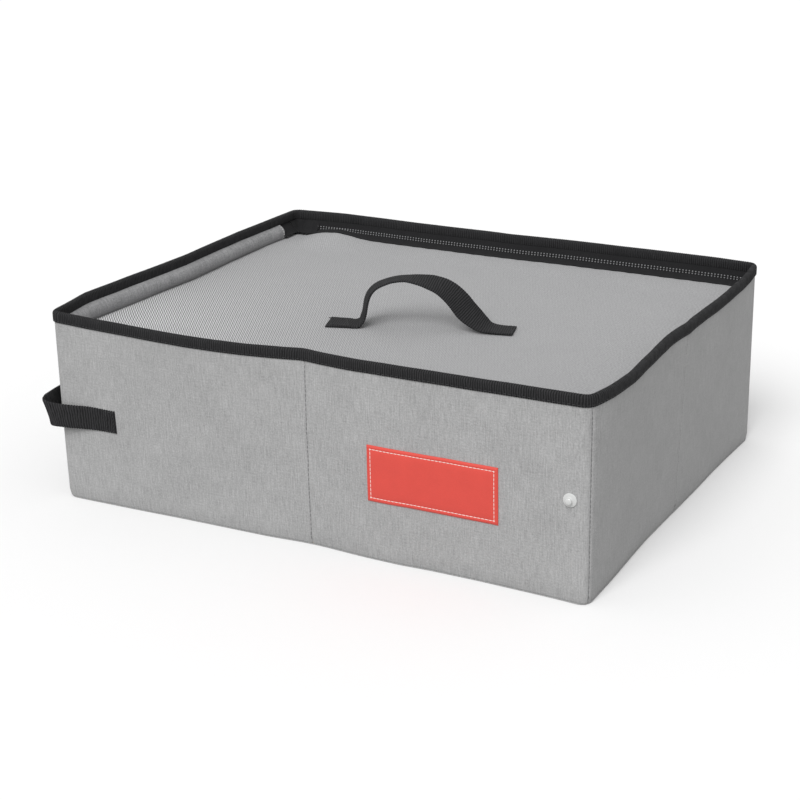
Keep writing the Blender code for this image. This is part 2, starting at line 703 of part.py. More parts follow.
def snap():
    """The stud on the front wall with its inner cap, and the socket on the strap's tail."""
    face = -REACH - PLAY
    place = (SNAP_X, SNAP_HEIGHT)
    flange = disc(
        "snap_stud", SNAP_FLANGE_RADIUS, place, face - SNAP_FLANGE_THICKNESS, face, FRONT_WALL, SNAP
    )
    post = disc(
        "snap_stud_post",
        SNAP_POST_RADIUS,
        place,
        face - SNAP_FLANGE_THICKNESS - SNAP_POST_LENGTH,
        face - SNAP_FLANGE_THICKNESS / 2,
        FRONT_WALL,
        SNAP,
    )
    combine(flange, post, "UNION")
    inside = -REACH + WALL_THICKNESS + PLAY
    disc(
        "snap_stud_cap", SNAP_CAP_RADIUS, place, inside, inside + SNAP_FLANGE_THICKNESS, FRONT_WALL, SNAP
    )
    place = (STRAP_BEND_Y + STRAP_TAIL - SOCKET_RADIUS * 2, STRAP_CENTRE_HEIGHT)
    inner = STRAP_TAIL_X + STRAP_THICKNESS / 2 + PLAY
    outer = STRAP_TAIL_X - STRAP_THICKNESS / 2 - PLAY
    socket = disc(
        "snap_socket", SOCKET_RADIUS, place, inner, inner + SOCKET_THICKNESS, STRAP_END, SNAP, along="X"
    )
    mouth = inner + SOCKET_THICKNESS - SOCKET_BORE_DEPTH
    bore = disc(
        "snap_socket_bore", SOCKET_BORE_RADIUS, place, mouth, mouth + OVERRUN, STRAP_END, SNAP, along="X"
    )
    combine(socket, bore, "DIFFERENCE")
    disc(
        "snap_socket_cap",
        SOCKET_RADIUS,
        place,
        outer - SNAP_FLANGE_THICKNESS,
        outer,
        STRAP_END,
        SNAP,
        along="X",
    )


def label():
    """The label sewn on the front wall."""
    near = -REACH - PLAY - LABEL_THICKNESS
    block(
        "label",
        (LABEL_OFFSET - LABEL_LENGTH / 2, near, LABEL_CENTRE_HEIGHT - LABEL_HEIGHT / 2),
        (LABEL_OFFSET + LABEL_LENGTH / 2, near + LABEL_THICKNESS, LABEL_CENTRE_HEIGHT + LABEL_HEIGHT / 2),
        FRONT_WALL,
        LABEL,
    )


def build():
    """Every piece of the box, in the order in which it is sewn up."""
    long_wall("back", False, BACK_WALL)
    long_wall("front", True, FRONT_WALL)
    short_half("left_rear", -1, False, False, LEFT_REAR)
    short_half("left_front", -1, True, False, LEFT_FRONT)
    short_half("right_rear", 1, False, True, RIGHT_REAR)
    short_half("right_front", 1, True, True, RIGHT_FRONT)
    base()
    lid_cover()
    lid_boards()
    lid_hinge()
    lid_zip()
    slider()
    pull()
    handle()
    closure_strap()
    snap()
    label()


build()
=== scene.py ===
import json
import math

import bmesh
import bpy
import numpy as np
from bpy.props import FloatProperty, FloatVectorProperty, PointerProperty
from mathutils import Matrix, Vector


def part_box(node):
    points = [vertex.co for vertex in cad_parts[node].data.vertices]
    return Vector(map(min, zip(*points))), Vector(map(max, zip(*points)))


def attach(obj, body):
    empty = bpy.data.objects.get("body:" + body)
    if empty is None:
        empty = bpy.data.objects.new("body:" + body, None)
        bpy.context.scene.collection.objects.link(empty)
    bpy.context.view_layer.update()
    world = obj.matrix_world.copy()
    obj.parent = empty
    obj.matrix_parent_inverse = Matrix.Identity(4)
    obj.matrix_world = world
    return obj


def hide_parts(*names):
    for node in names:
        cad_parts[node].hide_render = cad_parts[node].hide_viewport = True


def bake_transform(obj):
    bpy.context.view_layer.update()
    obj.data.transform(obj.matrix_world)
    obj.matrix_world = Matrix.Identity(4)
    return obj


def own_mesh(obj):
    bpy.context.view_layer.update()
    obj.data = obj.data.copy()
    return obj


bl_info = {
    "name": "Foldable Litter Box Dresser",
    "version": (1, 0, 0),
    "blender": (4, 5, 0),
    "location": "3D View > Sidebar > Litter Box",
    "description": "Dresses the packed litter box in cloth, webbing, zipper and stitching",
    "category": "Object",
}

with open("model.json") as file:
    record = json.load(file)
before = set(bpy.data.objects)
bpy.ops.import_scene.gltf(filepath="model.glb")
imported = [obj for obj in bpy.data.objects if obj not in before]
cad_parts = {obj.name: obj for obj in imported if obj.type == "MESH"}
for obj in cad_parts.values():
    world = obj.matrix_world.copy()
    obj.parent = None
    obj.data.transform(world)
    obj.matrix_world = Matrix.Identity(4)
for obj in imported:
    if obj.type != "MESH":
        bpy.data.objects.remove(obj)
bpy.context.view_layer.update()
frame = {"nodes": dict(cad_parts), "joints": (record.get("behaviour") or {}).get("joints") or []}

MM = 0.001
FULL_TURN = 2 * math.pi
# Edges sharper than this are not smoothed, in degrees
SHARP = 50
FLAT_SHARP = 40
RIBBON_SHARP = 60
ROUND_SHARP = 35
# Edges that turn more than this are bevelled, in radians
OUTLINE_TURN = 1
SLIDER_TURN = 0.6
GROUPS = {}
TREES = {}
MATERIALS = {}

# Places that the frame gives
PIVOT = {joint["name"]: Vector(joint["pos_m"]) for joint in frame["joints"] if "pos_m" in joint}
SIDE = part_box("base_cover")[1].x
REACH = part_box("base_cover")[1].y
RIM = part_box("binding_back")[1].z
FOOT, WALL_TOP = [corner.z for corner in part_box("cover_front")]
LID_FOOT, LID_TOP = [corner.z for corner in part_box("lid_cover")]
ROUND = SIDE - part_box("board_back_right")[1].x
CORNER_Y = PIVOT["wall_fold"].y
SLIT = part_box("zip_tape_back")[0].z
PATCH_LOW, PATCH_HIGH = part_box("strap_patch")
WEBBING_THICK = PATCH_HIGH.y - PATCH_LOW.y


def layer(node):
    """How far in from the right wall's outer face a piece of it starts and ends."""
    low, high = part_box(node)
    return SIDE - high.x, SIDE - low.x


COVER, BOARD, LINER = [layer(kind + "_right_rear") for kind in ("cover", "board", "liner")]

# Length of a long wall's outer line from its middle to the end of its leg
STRAIGHT = SIDE - ROUND
ARC_END = STRAIGHT + ROUND * math.pi / 2
LEG_END = ARC_END + REACH - ROUND - CORNER_Y
# The parts of the walls: the wall, the run along it, and the body that carries the part
PARTS = {
    "back": ("back", -LEG_END, LEG_END, "back_wall"),
    "front": ("front", -LEG_END, LEG_END, "front_wall"),
    "left_rear": ("left", 0.0, CORNER_Y, "left_wall_rear"),
    "left_front": ("left", -CORNER_Y, 0.0, "left_wall_front"),
    "right_rear": ("right", 0.0, CORNER_Y, "right_wall_rear"),
    "right_front": ("right", -CORNER_Y, 0.0, "right_wall_front"),
}

# The walls: the axis that each one faces, its side on that axis, and the seed of its ripple
WALLS = (("front", 1, -1, 1.0), ("back", 1, 1, 3.0), ("left", 0, -1, 4.0), ("right", 0, 1, 6.0))

BOW_SAMPLES = 801
BOW_BLUR = 33


def blurred(*table):
    """A table of millimetres at shares of a wall's half length, as a smooth function in metres."""
    shares = np.linspace(-1, 1, BOW_SAMPLES)
    values = np.interp(shares, *np.array(table).T) * MM
    window = np.hanning(BOW_BLUR + 2)[1:-1]
    padded = np.pad(values, BOW_BLUR // 2, mode="edge")
    return shares, np.convolve(padded, window / window.sum(), mode="valid")


# How far the rim bows out
BOWS = {
    "front": blurred(
        (-1.00, 0.5), (-0.85, 2.7), (-0.62, 4.8), (-0.42, 6.2), (-0.20, 3.1), (-0.05, -2.6),
        (0.00, -5.3), (0.06, -3.2), (0.20, -1.2), (0.50, -0.7), (0.80, -0.3), (1.00, 0.1),
    ),
    "back": blurred(
        (-1.00, 5.0), (-0.75, 8.6), (-0.40, 4.0), (-0.05, 1.8), (0.00, 0.9), (0.25, 1.8), (0.60, 0.1),
        (0.85, -1.9), (1.00, -5.6),
    ),
    "right": blurred(
        (-1.00, 0.1), (-0.86, 4.7), (-0.68, 6.8), (-0.45, 4.2), (-0.20, 1.8), (-0.06, 2.5), (0.01, 4.0),
        (0.10, 3.3), (0.40, 5.5), (0.80, 4.5), (1.00, 1.3),
    ),
    "left": blurred(
        (-1.00, -2.6), (-0.72, 3.6), (-0.40, 1.2), (-0.10, -1.4), (0.00, -2.0), (0.35, -0.1), (0.50, 0.2),
        (0.65, -0.2), (1.00, -1.6),
    ),
}
# How far the foot is drawn in
FEET = {
    "front": blurred(
        (-1.00, 0.2), (-0.70, 0.8), (-0.50, 1.8), (-0.15, 2.2), (-0.03, 3.9), (0.05, 3.9), (0.15, 2.2),
        (0.22, 1.2), (0.35, 0.4), (0.45, 1.4), (0.62, 1.2), (0.75, 0.2), (0.88, -1.0), (1.00, -3.0),
    ),
    "back": blurred((-1.00, 0.0), (-0.60, 1.2), (0.00, 2.2), (0.60, 1.2), (1.00, 0.0)),
    "right": blurred(
        (-1.00, -1.2), (-0.80, -0.6), (-0.68, 0.0), (-0.54, 1.0), (-0.35, 2.1), (-0.10, 2.0), (0.05, 1.7),
        (0.30, 1.5), (0.50, 1.9), (0.75, 1.4), (1.00, 0.2),
    ),
    "left": blurred((-1.00, 1.4), (-0.60, 1.6), (0.00, 2.2), (0.60, 1.2), (1.00, 0.0)),
}
# How far the rim sags
SAGS = {
    "front": blurred(
        (-1.00, 0.4), (-0.60, 1.5), (-0.30, 2.4), (0.00, 2.7), (0.20, 3.1), (0.60, 3.3), (1.00, 3.3)
    ),
    "right": blurred((-1.00, 3.3), (-0.50, 3.0), (0.00, 2.6), (0.50, 1.4), (1.00, 0.0)),
}
SAG_HEIGHTS = (118 * MM, 129 * MM)
BOW_POWER = 1.35
FOOT_POWER = 1.5
RIPPLE = 0.35 * MM
RIPPLE_WAVES = ((81 * MM, 117 * MM, 0.3), (47 * MM, 63 * MM, 1.7), (29 * MM, 41 * MM, 4.1))
STILL_FOOT = 20 * MM
STILL_CORNER = 30 * MM
NEAR_WALL = 14 * MM
FAR_FROM_WALL = 46 * MM
# Below 1 the walls' corners are squarer than a quarter circle
CORNER_POWER = 0.75


def smooth(value, low=0.0, high=1.0):
    """Smooth step from 0 at low to 1 at high."""
    share = np.clip((value - low) / (high - low), 0, 1)
    return share * share * (3 - 2 * share)


def ripple(first, second, seed):
    """Slow waves of cloth over two directions in metres, from -1 to 1."""
    total = np.zeros_like(first)
    for number, (long, short, phase) in enumerate(RIPPLE_WAVES, 1):
        turn = phase + seed * number
        total += np.sin(FULL_TURN * first / long + turn) * np.sin(FULL_TURN * second / short + turn * 2)
    return total / len(RIPPLE_WAVES)


def settle(points):
    """Bow the walls outwards towards the rim, as the real cloth does; all layers move alike."""
    x, y, z = points.T
    rise = np.clip(z / RIM, 0, 1) ** BOW_POWER
    low = (1 - np.clip(z / RIM, 0, 1)) ** FOOT_POWER
    body = smooth(z, 0, STILL_FOOT) * RIPPLE
    sag = np.zeros_like(z)
    moved = np.array(points, float)
    for wall, axis, sign, seed in WALLS:
        along, end, out, reach = (x, SIDE, y, REACH) if axis else (y, REACH, x, SIDE)
        near = smooth(out * sign, reach - FAR_FROM_WALL, reach - NEAR_WALL)
        bow = np.interp(along / end, *BOWS[wall]) * rise - np.interp(along / end, *FEET[wall]) * low
        bow += ripple(along, z, seed) * body * smooth(end - np.abs(along), 0, STILL_CORNER)
        moved[:, axis] += sign * bow * near
        if wall in SAGS:
            sag = np.maximum(sag, np.interp(along / end, *SAGS[wall]) * near)
    moved[:, 2] -= sag * smooth(z, *SAG_HEIGHTS)
    return moved


def wall_plan(wall, along):
    """Points on a wall's outer line in plan and the inward directions there."""
    along = np.asarray(along, float)
    if wall in ("left", "right"):
        sign = np.full_like(along, 1 if wall == "right" else -1)
        return np.column_stack((sign * SIDE, along)), np.column_stack((-sign, np.zeros_like(along)))
    sign = np.sign(along)
    reach = np.abs(along)
    turn = np.clip((reach - STRAIGHT) / ROUND, 0, math.pi / 2)
    x = sign * (np.minimum(reach, STRAIGHT) + ROUND * np.sin(turn) ** CORNER_POWER)
    square = np.clip(np.cos(turn), 0, 1) ** CORNER_POWER
    y = REACH - ROUND + ROUND * square - np.clip(reach - ARC_END, 0, None)
    facing = np.array((1, -1 if wall == "front" else 1))
    return np.column_stack((x, y)) * facing, np.column_stack((-sign * np.sin(turn), -np.cos(turn))) * facing


def wall_line(wall, along, inset, height):
    """A line on a wall, at places along it, at an inset and a height, settled like the wall."""
    plan, inward = wall_plan(wall, along)
    inset, height = [np.broadcast_to(value, len(plan)) for value in (inset, height)]
    return settle(np.column_stack((plan + inward * inset[:, None], height)))


def steps(low, high, size):
    """Evenly spaced values from low to high, about a size apart."""
    return np.linspace(low, high, max(2, math.ceil((high - low) / size) + 1))


def new_object(name, mesh, material):
    """An object for a mesh, with its material, in the scene."""
    mesh.materials.clear()
    mesh.materials.append(MATERIALS[material])
    piece = bpy.data.objects.new(name, mesh)
    bpy.context.scene.collection.objects.link(piece)
    return piece


def keep_lengths(mesh, along, across):
    """Keep the lengths along and across the cloth on a mesh, for the materials that follow them."""
    for label, values in (("along", along), ("across", across)):
        mesh.attributes.new(label, "FLOAT", "POINT").data.foreach_set("value", np.float32(values))


def smooth_mesh(mesh, sharp):
    """Smooth shading but for the edges that are sharper than an angle in degrees."""
    mesh.shade_smooth()
    mesh.set_sharp_from_angle(angle=math.radians(sharp))


def solid_piece(name, points, faces, material, along=None, across=None, sharp=SHARP):
    """A piece with its normals outwards, and its cloth lengths if it has any."""
    mesh = bpy.data.meshes.new(name)
    mesh.from_pydata([tuple(point) for point in points], [], faces)
    if along is not None:
        keep_lengths(mesh, along, across)
    solid = bmesh.new()
    solid.from_mesh(mesh)
    bmesh.ops.recalc_face_normals(solid, faces=solid.faces)
    solid.to_mesh(mesh)
    solid.free()
    smooth_mesh(mesh, sharp)
    return new_object(name, mesh, material)


def swept_faces(count, ring):
    """Quads of a closed ring swept along count places, with both ends closed."""
    faces = []
    for near in range(0, (count - 1) * ring, ring):
        far = near + ring
        for spot in range(ring):
            after = (spot + 1) % ring
            faces.append((near + spot, near + after, far + after, far + spot))
    return faces + [tuple(range(ring)), tuple(range((count - 1) * ring, count * ring))]


def swept(name, wall, along, section, material):
    """A wall's layer: a closed section of (inset, height) pairs, swept along the wall's line.

    The section is one ring, or one for each place along the wall.
    """
    section = np.asarray(section, float)
    if section.ndim == 2:
        section = np.repeat(section[None], len(along), axis=0)
    ring = section.shape[1]
    line, inward = wall_plan(wall, along)
    plan = line[:, None] + inward[:, None] * section[:, :, :1]
    points = settle(np.concatenate((plan, section[:, :, 1:]), axis=2).reshape(-1, 3))
    faces = swept_faces(len(along), ring)
    lengths, heights = np.repeat(along, ring), section[:, :, 1].reshape(-1)
    return solid_piece(name, points, faces, material, lengths, heights)


def sheet_section(outer, inner, low, high, rows):
    """Ring of a sheet that stands between two insets and two heights."""
    heights = np.linspace(low, high, rows)
    up = np.column_stack((np.full(rows, outer), heights))
    return np.concatenate((up, np.column_stack((np.full(rows, inner), heights[::-1]))))


def directions(line):
    """Unit vectors along a line of points."""
    run = np.gradient(line, axis=0)
    return run / np.linalg.norm(run, axis=1)[:, None]


def lengths_along(line):
    """The length from a line's start to each of its points."""
    return np.concatenate(([0], np.cumsum(np.linalg.norm(np.diff(line, axis=0), axis=1))))


def thickened(line, thickness):
    """Ring round an open line of (inset, height) pairs, half the thickness to each side."""
    run = directions(line)
    side = np.column_stack((-run[:, 1], run[:, 0])) * thickness / 2
    return np.concatenate((line + side, (line - side)[::-1]))


SPLINE_STEPS = 24
OUTLINE_STEP = 4 * MM


def spline(table):
    """Points on a smooth curve through a table in millimetres, as many between each two."""
    points = np.array(table) * MM
    padded = np.vstack((2 * points[0] - points[1], points, 2 * points[-1] - points[-2]))
    share = np.linspace(0, 1, SPLINE_STEPS, endpoint=False)[:, None]
    square = share * share
    cube = square * share
    fine = []
    for spot in range(1, len(padded) - 2):
        before, start, end, after = padded[spot - 1:spot + 3]
        fine.append(
            start * (2 * cube - 3 * square + 1) + (end - before) / 2 * (cube - 2 * square + share)
            + end * (3 * square - 2 * cube) + (after - start) / 2 * (cube - square)
        )
    return np.vstack(fine + [points[-1:]])


def curved(table, step):
    """Evenly spaced points on a smooth curve through a table in millimetres, and their lengths."""
    fine = spline(table)
    reach = lengths_along(fine)
    wanted = steps(0, reach[-1], step)
    return np.column_stack([np.interp(wanted, reach, column) for column in fine.T]), wanted


def grid_faces(columns, rows):
    """Faces of a closed sheet over a grid: its upper points come first, then as many lower ones."""
    total = columns * rows
    faces = []
    for column in range(columns - 1):
        for first in range(column * rows, column * rows + rows - 1):
            quad = (first, first + rows, first + rows + 1, first + 1)
            faces += [quad, tuple(total + corner for corner in reversed(quad))]
    edge = [column * rows for column in range(columns)]
    edge += range((columns - 1) * rows + 1, total)
    edge += [column * rows + rows - 1 for column in range(columns - 2, -1, -1)]
    edge += range(rows - 2, 0, -1)
    return faces + [(near, far, far + total, near + total) for near, far in zip(edge, edge[1:] + edge[:1])]


def flat_grid(first, second):
    """Every pair of two lists of values, as two flat arrays."""
    return [values.reshape(-1) for values in np.meshgrid(first, second, indexing="ij")]


def grid_sheet(name, xs, ys, top, bottom, material, settled=True):
    """A lying sheet over a grid of X and Y values, between two height functions."""
    x, y = flat_grid(xs, ys)
    points = np.vstack([np.column_stack((x, y, height(x, y))) for height in (top, bottom)])
    if settled:
        points = settle(points)
    return solid_piece(name, points, grid_faces(len(xs), len(ys)), material, np.tile(x, 2), np.tile(y, 2))


def outline_sheet(name, outline, node, material, bevel=0.0):
    """A flat piece with a given outline in plan, as high as a node, whose edges follow the walls."""
    low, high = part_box(node)
    solid = bmesh.new()
    rim = []
    for start, end in zip(outline, outline[1:] + outline[:1]):
        count = max(1, math.ceil(math.dist(start, end) / OUTLINE_STEP))
        for share in np.arange(count) / count:
            x, y = [a + (b - a) * share for a, b in zip(start, end)]
            rim.append(solid.verts.new((x, y, low.z)))
    raised = bmesh.ops.extrude_face_region(solid, geom=[solid.faces.new(rim)])
    twill_and_glow = [item for item in raised["geom"] if isinstance(item, bmesh.types.BMVert)]
    bmesh.ops.translate(solid, vec=(0, 0, high.z - low.z), verts=twill_and_glow)
    bmesh.ops.recalc_face_normals(solid, faces=solid.faces)
    if bevel:
        edges = [edge for edge in solid.edges if edge.calc_face_angle(0) > OUTLINE_TURN]
        bmesh.ops.bevel(solid, geom=edges, offset=bevel, segments=2, affect="EDGES")
    mesh = bpy.data.meshes.new(name)
    solid.to_mesh(mesh)
    solid.free()
    places = np.array([vertex.co for vertex in mesh.vertices])
    mesh.vertices.foreach_set("co", np.float32(settle(places)).reshape(-1))
    keep_lengths(mesh, places[:, 0], places[:, 1])
    smooth_mesh(mesh, FLAT_SHARP)
    return new_object(name, mesh, material)


# Webbing's flat section: shares of its width, and of its thickness there
RIBBON_SHARES = (-0.5, -0.49, -0.45, -0.3, -0.1, 0.1, 0.3, 0.45, 0.49, 0.5)
RIBBON_DEPTHS = (0.0, 0.32, 0.5, 0.5, 0.46, 0.46, 0.5, 0.5, 0.32, 0.0)


def ribbon(name, centres, wide, lengths, width, material, slanted=False):
    """Webbing: a rounded flat section swept along its centre line, wide along given directions."""
    run = directions(centres)
    if slanted:
        wide = wide / width
    else:
        wide = wide - run * np.sum(wide * run, axis=1)[:, None]
        wide /= np.linalg.norm(wide, axis=1)[:, None]
    face = np.cross(run, wide)
    face /= np.linalg.norm(face, axis=1)[:, None]
    ring = list(zip(RIBBON_SHARES, RIBBON_DEPTHS))
    ring += [(share, -depth) for share, depth in ring[-2:0:-1]]
    places = [centres + wide * width * share + face * WEBBING_THICK * depth for share, depth in ring]
    points = np.stack(places, axis=1).reshape(-1, 3)
    along = np.repeat(lengths, len(ring))
    across = np.tile([share * width for share, depth in ring], len(centres))
    faces = swept_faces(len(centres), len(ring))
    return solid_piece(name, points, faces, material, along, across, RIBBON_SHARP)


def turned(name, profile, place, direction, material, sides=40):
    """A round piece: a profile of (radius, height) pairs in millimetres, turned about an axis."""
    turns = [FULL_TURN * side / sides for side in range(sides)]
    spin = Vector((0, 0, 1)).rotation_difference(Vector(direction)).to_matrix().to_4x4()
    stand = Matrix.Translation(place) @ spin
    points = [
        stand @ Vector((radius * math.cos(turn), radius * math.sin(turn), height))
        for radius, height in np.array(profile) * MM for turn in turns
    ]
    return solid_piece(name, points, swept_faces(len(profile), sides), material, sharp=ROUND_SHARP)


def add_node(tree, kind, inputs=None, **settings):
    """A node with its settings, its inputs set or linked."""
    made = tree.nodes.new(kind)
    for key, value in settings.items():
        setattr(made, key, value)
    for key, value in (inputs or {}).items():
        if isinstance(value, bpy.types.NodeSocket):
            tree.links.new(value, made.inputs[key])
        else:
            made.inputs[key].default_value = value
    return made


def calc(tree, operation, first, second=0.0, third=0.0):
    """The output of a Math node, in a shader or in Geometry Nodes."""
    inputs = {0: first, 1: second, 2: third}
    return add_node(tree, "ShaderNodeMath", inputs, operation=operation).outputs[0]


def waved(tree, turns):
    """The sine of a number of turns."""
    return calc(tree, "SINE", calc(tree, "MULTIPLY", turns, FULL_TURN))


def new_group(name, kind, inputs, outputs):
    """A node group with its input and output nodes. A socket without a value has its type as name."""
    tree = bpy.data.node_groups.new(name, kind)
    types = {float: "Float", bool: "Bool"}
    for label, value in inputs.items():
        socket_type = "NodeSocket" + types.get(type(value), label)
        socket = tree.interface.new_socket(name=label, in_out="INPUT", socket_type=socket_type)
        if value is not None:
            socket.default_value = value
    for label in outputs:
        socket_type = "NodeSocketGeometry" if label == "Geometry" else "NodeSocketFloat"
        tree.interface.new_socket(name=label, in_out="OUTPUT", socket_type=socket_type)
    return tree, tree.nodes.new("NodeGroupInput").outputs, tree.nodes.new("NodeGroupOutput").inputs


def sewn_row_tree():
    """Geometry Nodes: rounded rods along edges, as stitches or as the coil's turns."""
    sockets = {
        "Geometry": None, "Spacing": 3 * MM, "Length": 2 * MM, "Radius": 0.3 * MM, "Upright": False,
        "Material": None,
    }
    tree, given, result = new_group("sewn_row", "GeometryNodeTree", sockets, ("Geometry",))
    path = add_node(tree, "GeometryNodeMeshToCurve", {"Mesh": given["Geometry"]})
    run = {"Curve": path.outputs[0], "Length": given["Spacing"]}
    spaced = add_node(tree, "GeometryNodeResampleCurve", run, mode="LENGTH")
    rod = add_node(tree, "GeometryNodeMeshUVSphere", {"Segments": 8, "Rings": 6, "Radius": 1.0})
    tangent = add_node(tree, "GeometryNodeInputTangent")
    ways = {"Switch": given["Upright"], "False": tangent.outputs[0], "True": (0, 0, 1)}
    way = add_node(tree, "GeometryNodeSwitch", ways, input_type="VECTOR")
    turn = add_node(tree, "FunctionNodeAlignRotationToVector", {"Vector": way.outputs[0]}, axis="X")
    half = calc(tree, "MULTIPLY", given["Length"], 0.5)
    scale = {"X": half, "Y": given["Radius"], "Z": given["Radius"]}
    placing = {
        "Points": spaced.outputs[0],
        "Instance": rod.outputs["Mesh"],
        "Rotation": turn.outputs[0],
        "Scale": add_node(tree, "ShaderNodeCombineXYZ", scale).outputs[0],
    }
    placed = add_node(tree, "GeometryNodeInstanceOnPoints", placing)
    solid = add_node(tree, "GeometryNodeRealizeInstances", {"Geometry": placed.outputs[0]})
    smoothed = add_node(tree, "GeometryNodeSetShadeSmooth", {"Geometry": solid.outputs[0]})
    coated = {"Geometry": smoothed.outputs[0], "Material": given["Material"]}
    finished = add_node(tree, "GeometryNodeSetMaterial", coated)
    tree.links.new(finished.outputs[0], result["Geometry"])
    return tree


def ribbed_tree():
    """Geometry Nodes: the ribs that run across webbing, from the length along it."""
    sockets = {"Geometry": None, "Pitch": 2 * MM, "Depth": 0.15 * MM, "Material": None}
    tree, given, result = new_group("webbing_ribs", "GeometryNodeTree", sockets, ("Geometry",))
    along = add_node(tree, "GeometryNodeInputNamedAttribute", {"Name": "along"}, data_type="FLOAT")
    turns = calc(tree, "DIVIDE", along.outputs[0], given["Pitch"])
    rise = calc(tree, "MULTIPLY", waved(tree, turns), given["Depth"])
    normal = add_node(tree, "GeometryNodeInputNormal").outputs[0]
    offset = add_node(tree, "ShaderNodeVectorMath", {0: normal, "Scale": rise}, operation="SCALE")
    moving = {"Geometry": given["Geometry"], "Offset": offset.outputs[0]}
    moved = add_node(tree, "GeometryNodeSetPosition", moving)
    solid = add_node(tree, "GeometryNodeRealizeInstances", {"Geometry": moved.outputs[0]})
    coated = {"Geometry": solid.outputs[0], "Material": given["Material"]}
    finished = add_node(tree, "GeometryNodeSetMaterial", coated)
    tree.links.new(finished.outputs[0], result["Geometry"])
    return tree


def grown(piece, tree, **values):
    """Run a Geometry Nodes tree on a piece and keep the result as its plain mesh."""
    step = piece.modifiers.new("grown", "NODES")
    step.node_group = tree
    for item in tree.interface.items_tree:
        if item.in_out == "INPUT" and item.name in values:
            step[item.identifier] = values[item.name]
    bpy.context.view_layer.update()
    graph = bpy.context.evaluated_depsgraph_get()
    mesh = bpy.data.meshes.new_from_object(piece.evaluated_get(graph))
    mesh.name = piece.name
    piece.modifiers.remove(step)
    old = piece.data
    piece.data = mesh
    bpy.data.meshes.remove(old)
    return piece


# Spacing, length and radius of the stitches that don't follow the settings
STITCHES = {
    "strip": (1.9 * MM, 1.3 * MM, 0.25 * MM),
    "handle": (2.6 * MM, 2.1 * MM, 0.26 * MM),
    "strap": (2.4 * MM, 1.9 * MM, 0.26 * MM),
    "label": (2.6 * MM, 2.75 * MM, 0.25 * MM),
}


def sewn(name, lines, slot, thread, spacing, length, radius, upright=False):
    """Stitches, or turns of the coil, along lines."""
    points = []
    edges = []
    for line in lines:
        first = len(points)
        points += [tuple(point) for point in line]
        edges += [(first + spot, first + spot + 1) for spot in range(len(line) - 1)]
    mesh = bpy.data.meshes.new(name)
    mesh.from_pydata(points, edges, [])
    piece = new_object(name, mesh, thread)
    rods = {"Spacing": spacing, "Length": length, "Radius": radius, "Upright": upright}
    grown(piece, TREES["row"], **rods, Material=MATERIALS[thread])
    return declare(piece)


def ribbed(piece, material, coarser=1.0, deeper=1.0):
    """Webbing with its ribs."""
    pitch, depth = sizes().rib_pitch * coarser, sizes().rib_depth * deeper
    return grown(piece, TREES["ribs"], Pitch=pitch, Depth=depth, Material=MATERIALS[material])


# The cloth's noises: their stretch along and across it, in threads, and their detail
UPRIGHT_SLUBS = (1.3, 0.10, 2.0)
LYING_SLUBS = (0.09, 1.1, 2.0)
SPECKLE = (0.95, 0.95, 1.5)
BROAD = (0.03, 0.03, 2.0)
LYING_SHARE = 0.35
THREAD_TONE = 0.12
THREAD_RELIEF = 0.35
BROAD_SHARE = 0.35


def woven_group():
    """Shader group: threads, slubs and grain of woven cloth, from lengths along and across it."""
    sockets = {"Along": 0.0, "Across": 0.0, "Pitch": 1 * MM, "Slub": 0.1, "Grain": 0.1}
    tree, given, result = new_group("woven_threads", "ShaderNodeTree", sockets, ("Height", "Tone"))
    along = calc(tree, "DIVIDE", given["Along"], given["Pitch"])
    across = calc(tree, "DIVIDE", given["Across"], given["Pitch"])
    threads = calc(tree, "MULTIPLY", waved(tree, along), waved(tree, across))
    noises = []
    for wide, high, detail in (UPRIGHT_SLUBS, LYING_SLUBS, SPECKLE, BROAD):
        place = {"X": calc(tree, "MULTIPLY", along, wide), "Y": calc(tree, "MULTIPLY", across, high)}
        spot = add_node(tree, "ShaderNodeCombineXYZ", place).outputs[0]
        inputs = {"Vector": spot, "Scale": 1.0, "Detail": detail, "Roughness": 0.6}
        noise = add_node(tree, "ShaderNodeTexNoise", inputs)
        noises.append(calc(tree, "SUBTRACT", noise.outputs[0], 0.5))
    upright, lying, speckle, broad = noises
    streaks = calc(tree, "MULTIPLY_ADD", lying, LYING_SHARE, upright)
    weave = calc(tree, "MULTIPLY_ADD", threads, THREAD_TONE, streaks)
    mixed = calc(tree, "MULTIPLY_ADD", broad, BROAD_SHARE, weave)
    uneven = calc(tree, "MULTIPLY", mixed, given["Slub"])
    tone = calc(tree, "MULTIPLY_ADD", speckle, given["Grain"], calc(tree, "ADD", uneven, 1.0))
    height = calc(tree, "MULTIPLY_ADD", threads, THREAD_RELIEF, calc(tree, "ADD", streaks, speckle))
    tree.links.new(height, result["Height"])
    tree.links.new(tone, result["Tone"])
    return tree


def object_noise(tree, scale, detail):
    """Noise from Object coordinates."""
    place = add_node(tree, "ShaderNodeTexCoord").outputs["Object"]
    inputs = {"Vector": place, "Scale": scale, "Detail": detail}
    return add_node(tree, "ShaderNodeTexNoise", inputs).outputs[0]


SLOW_SCALE = 0.08
CELL_TONE = 0.4


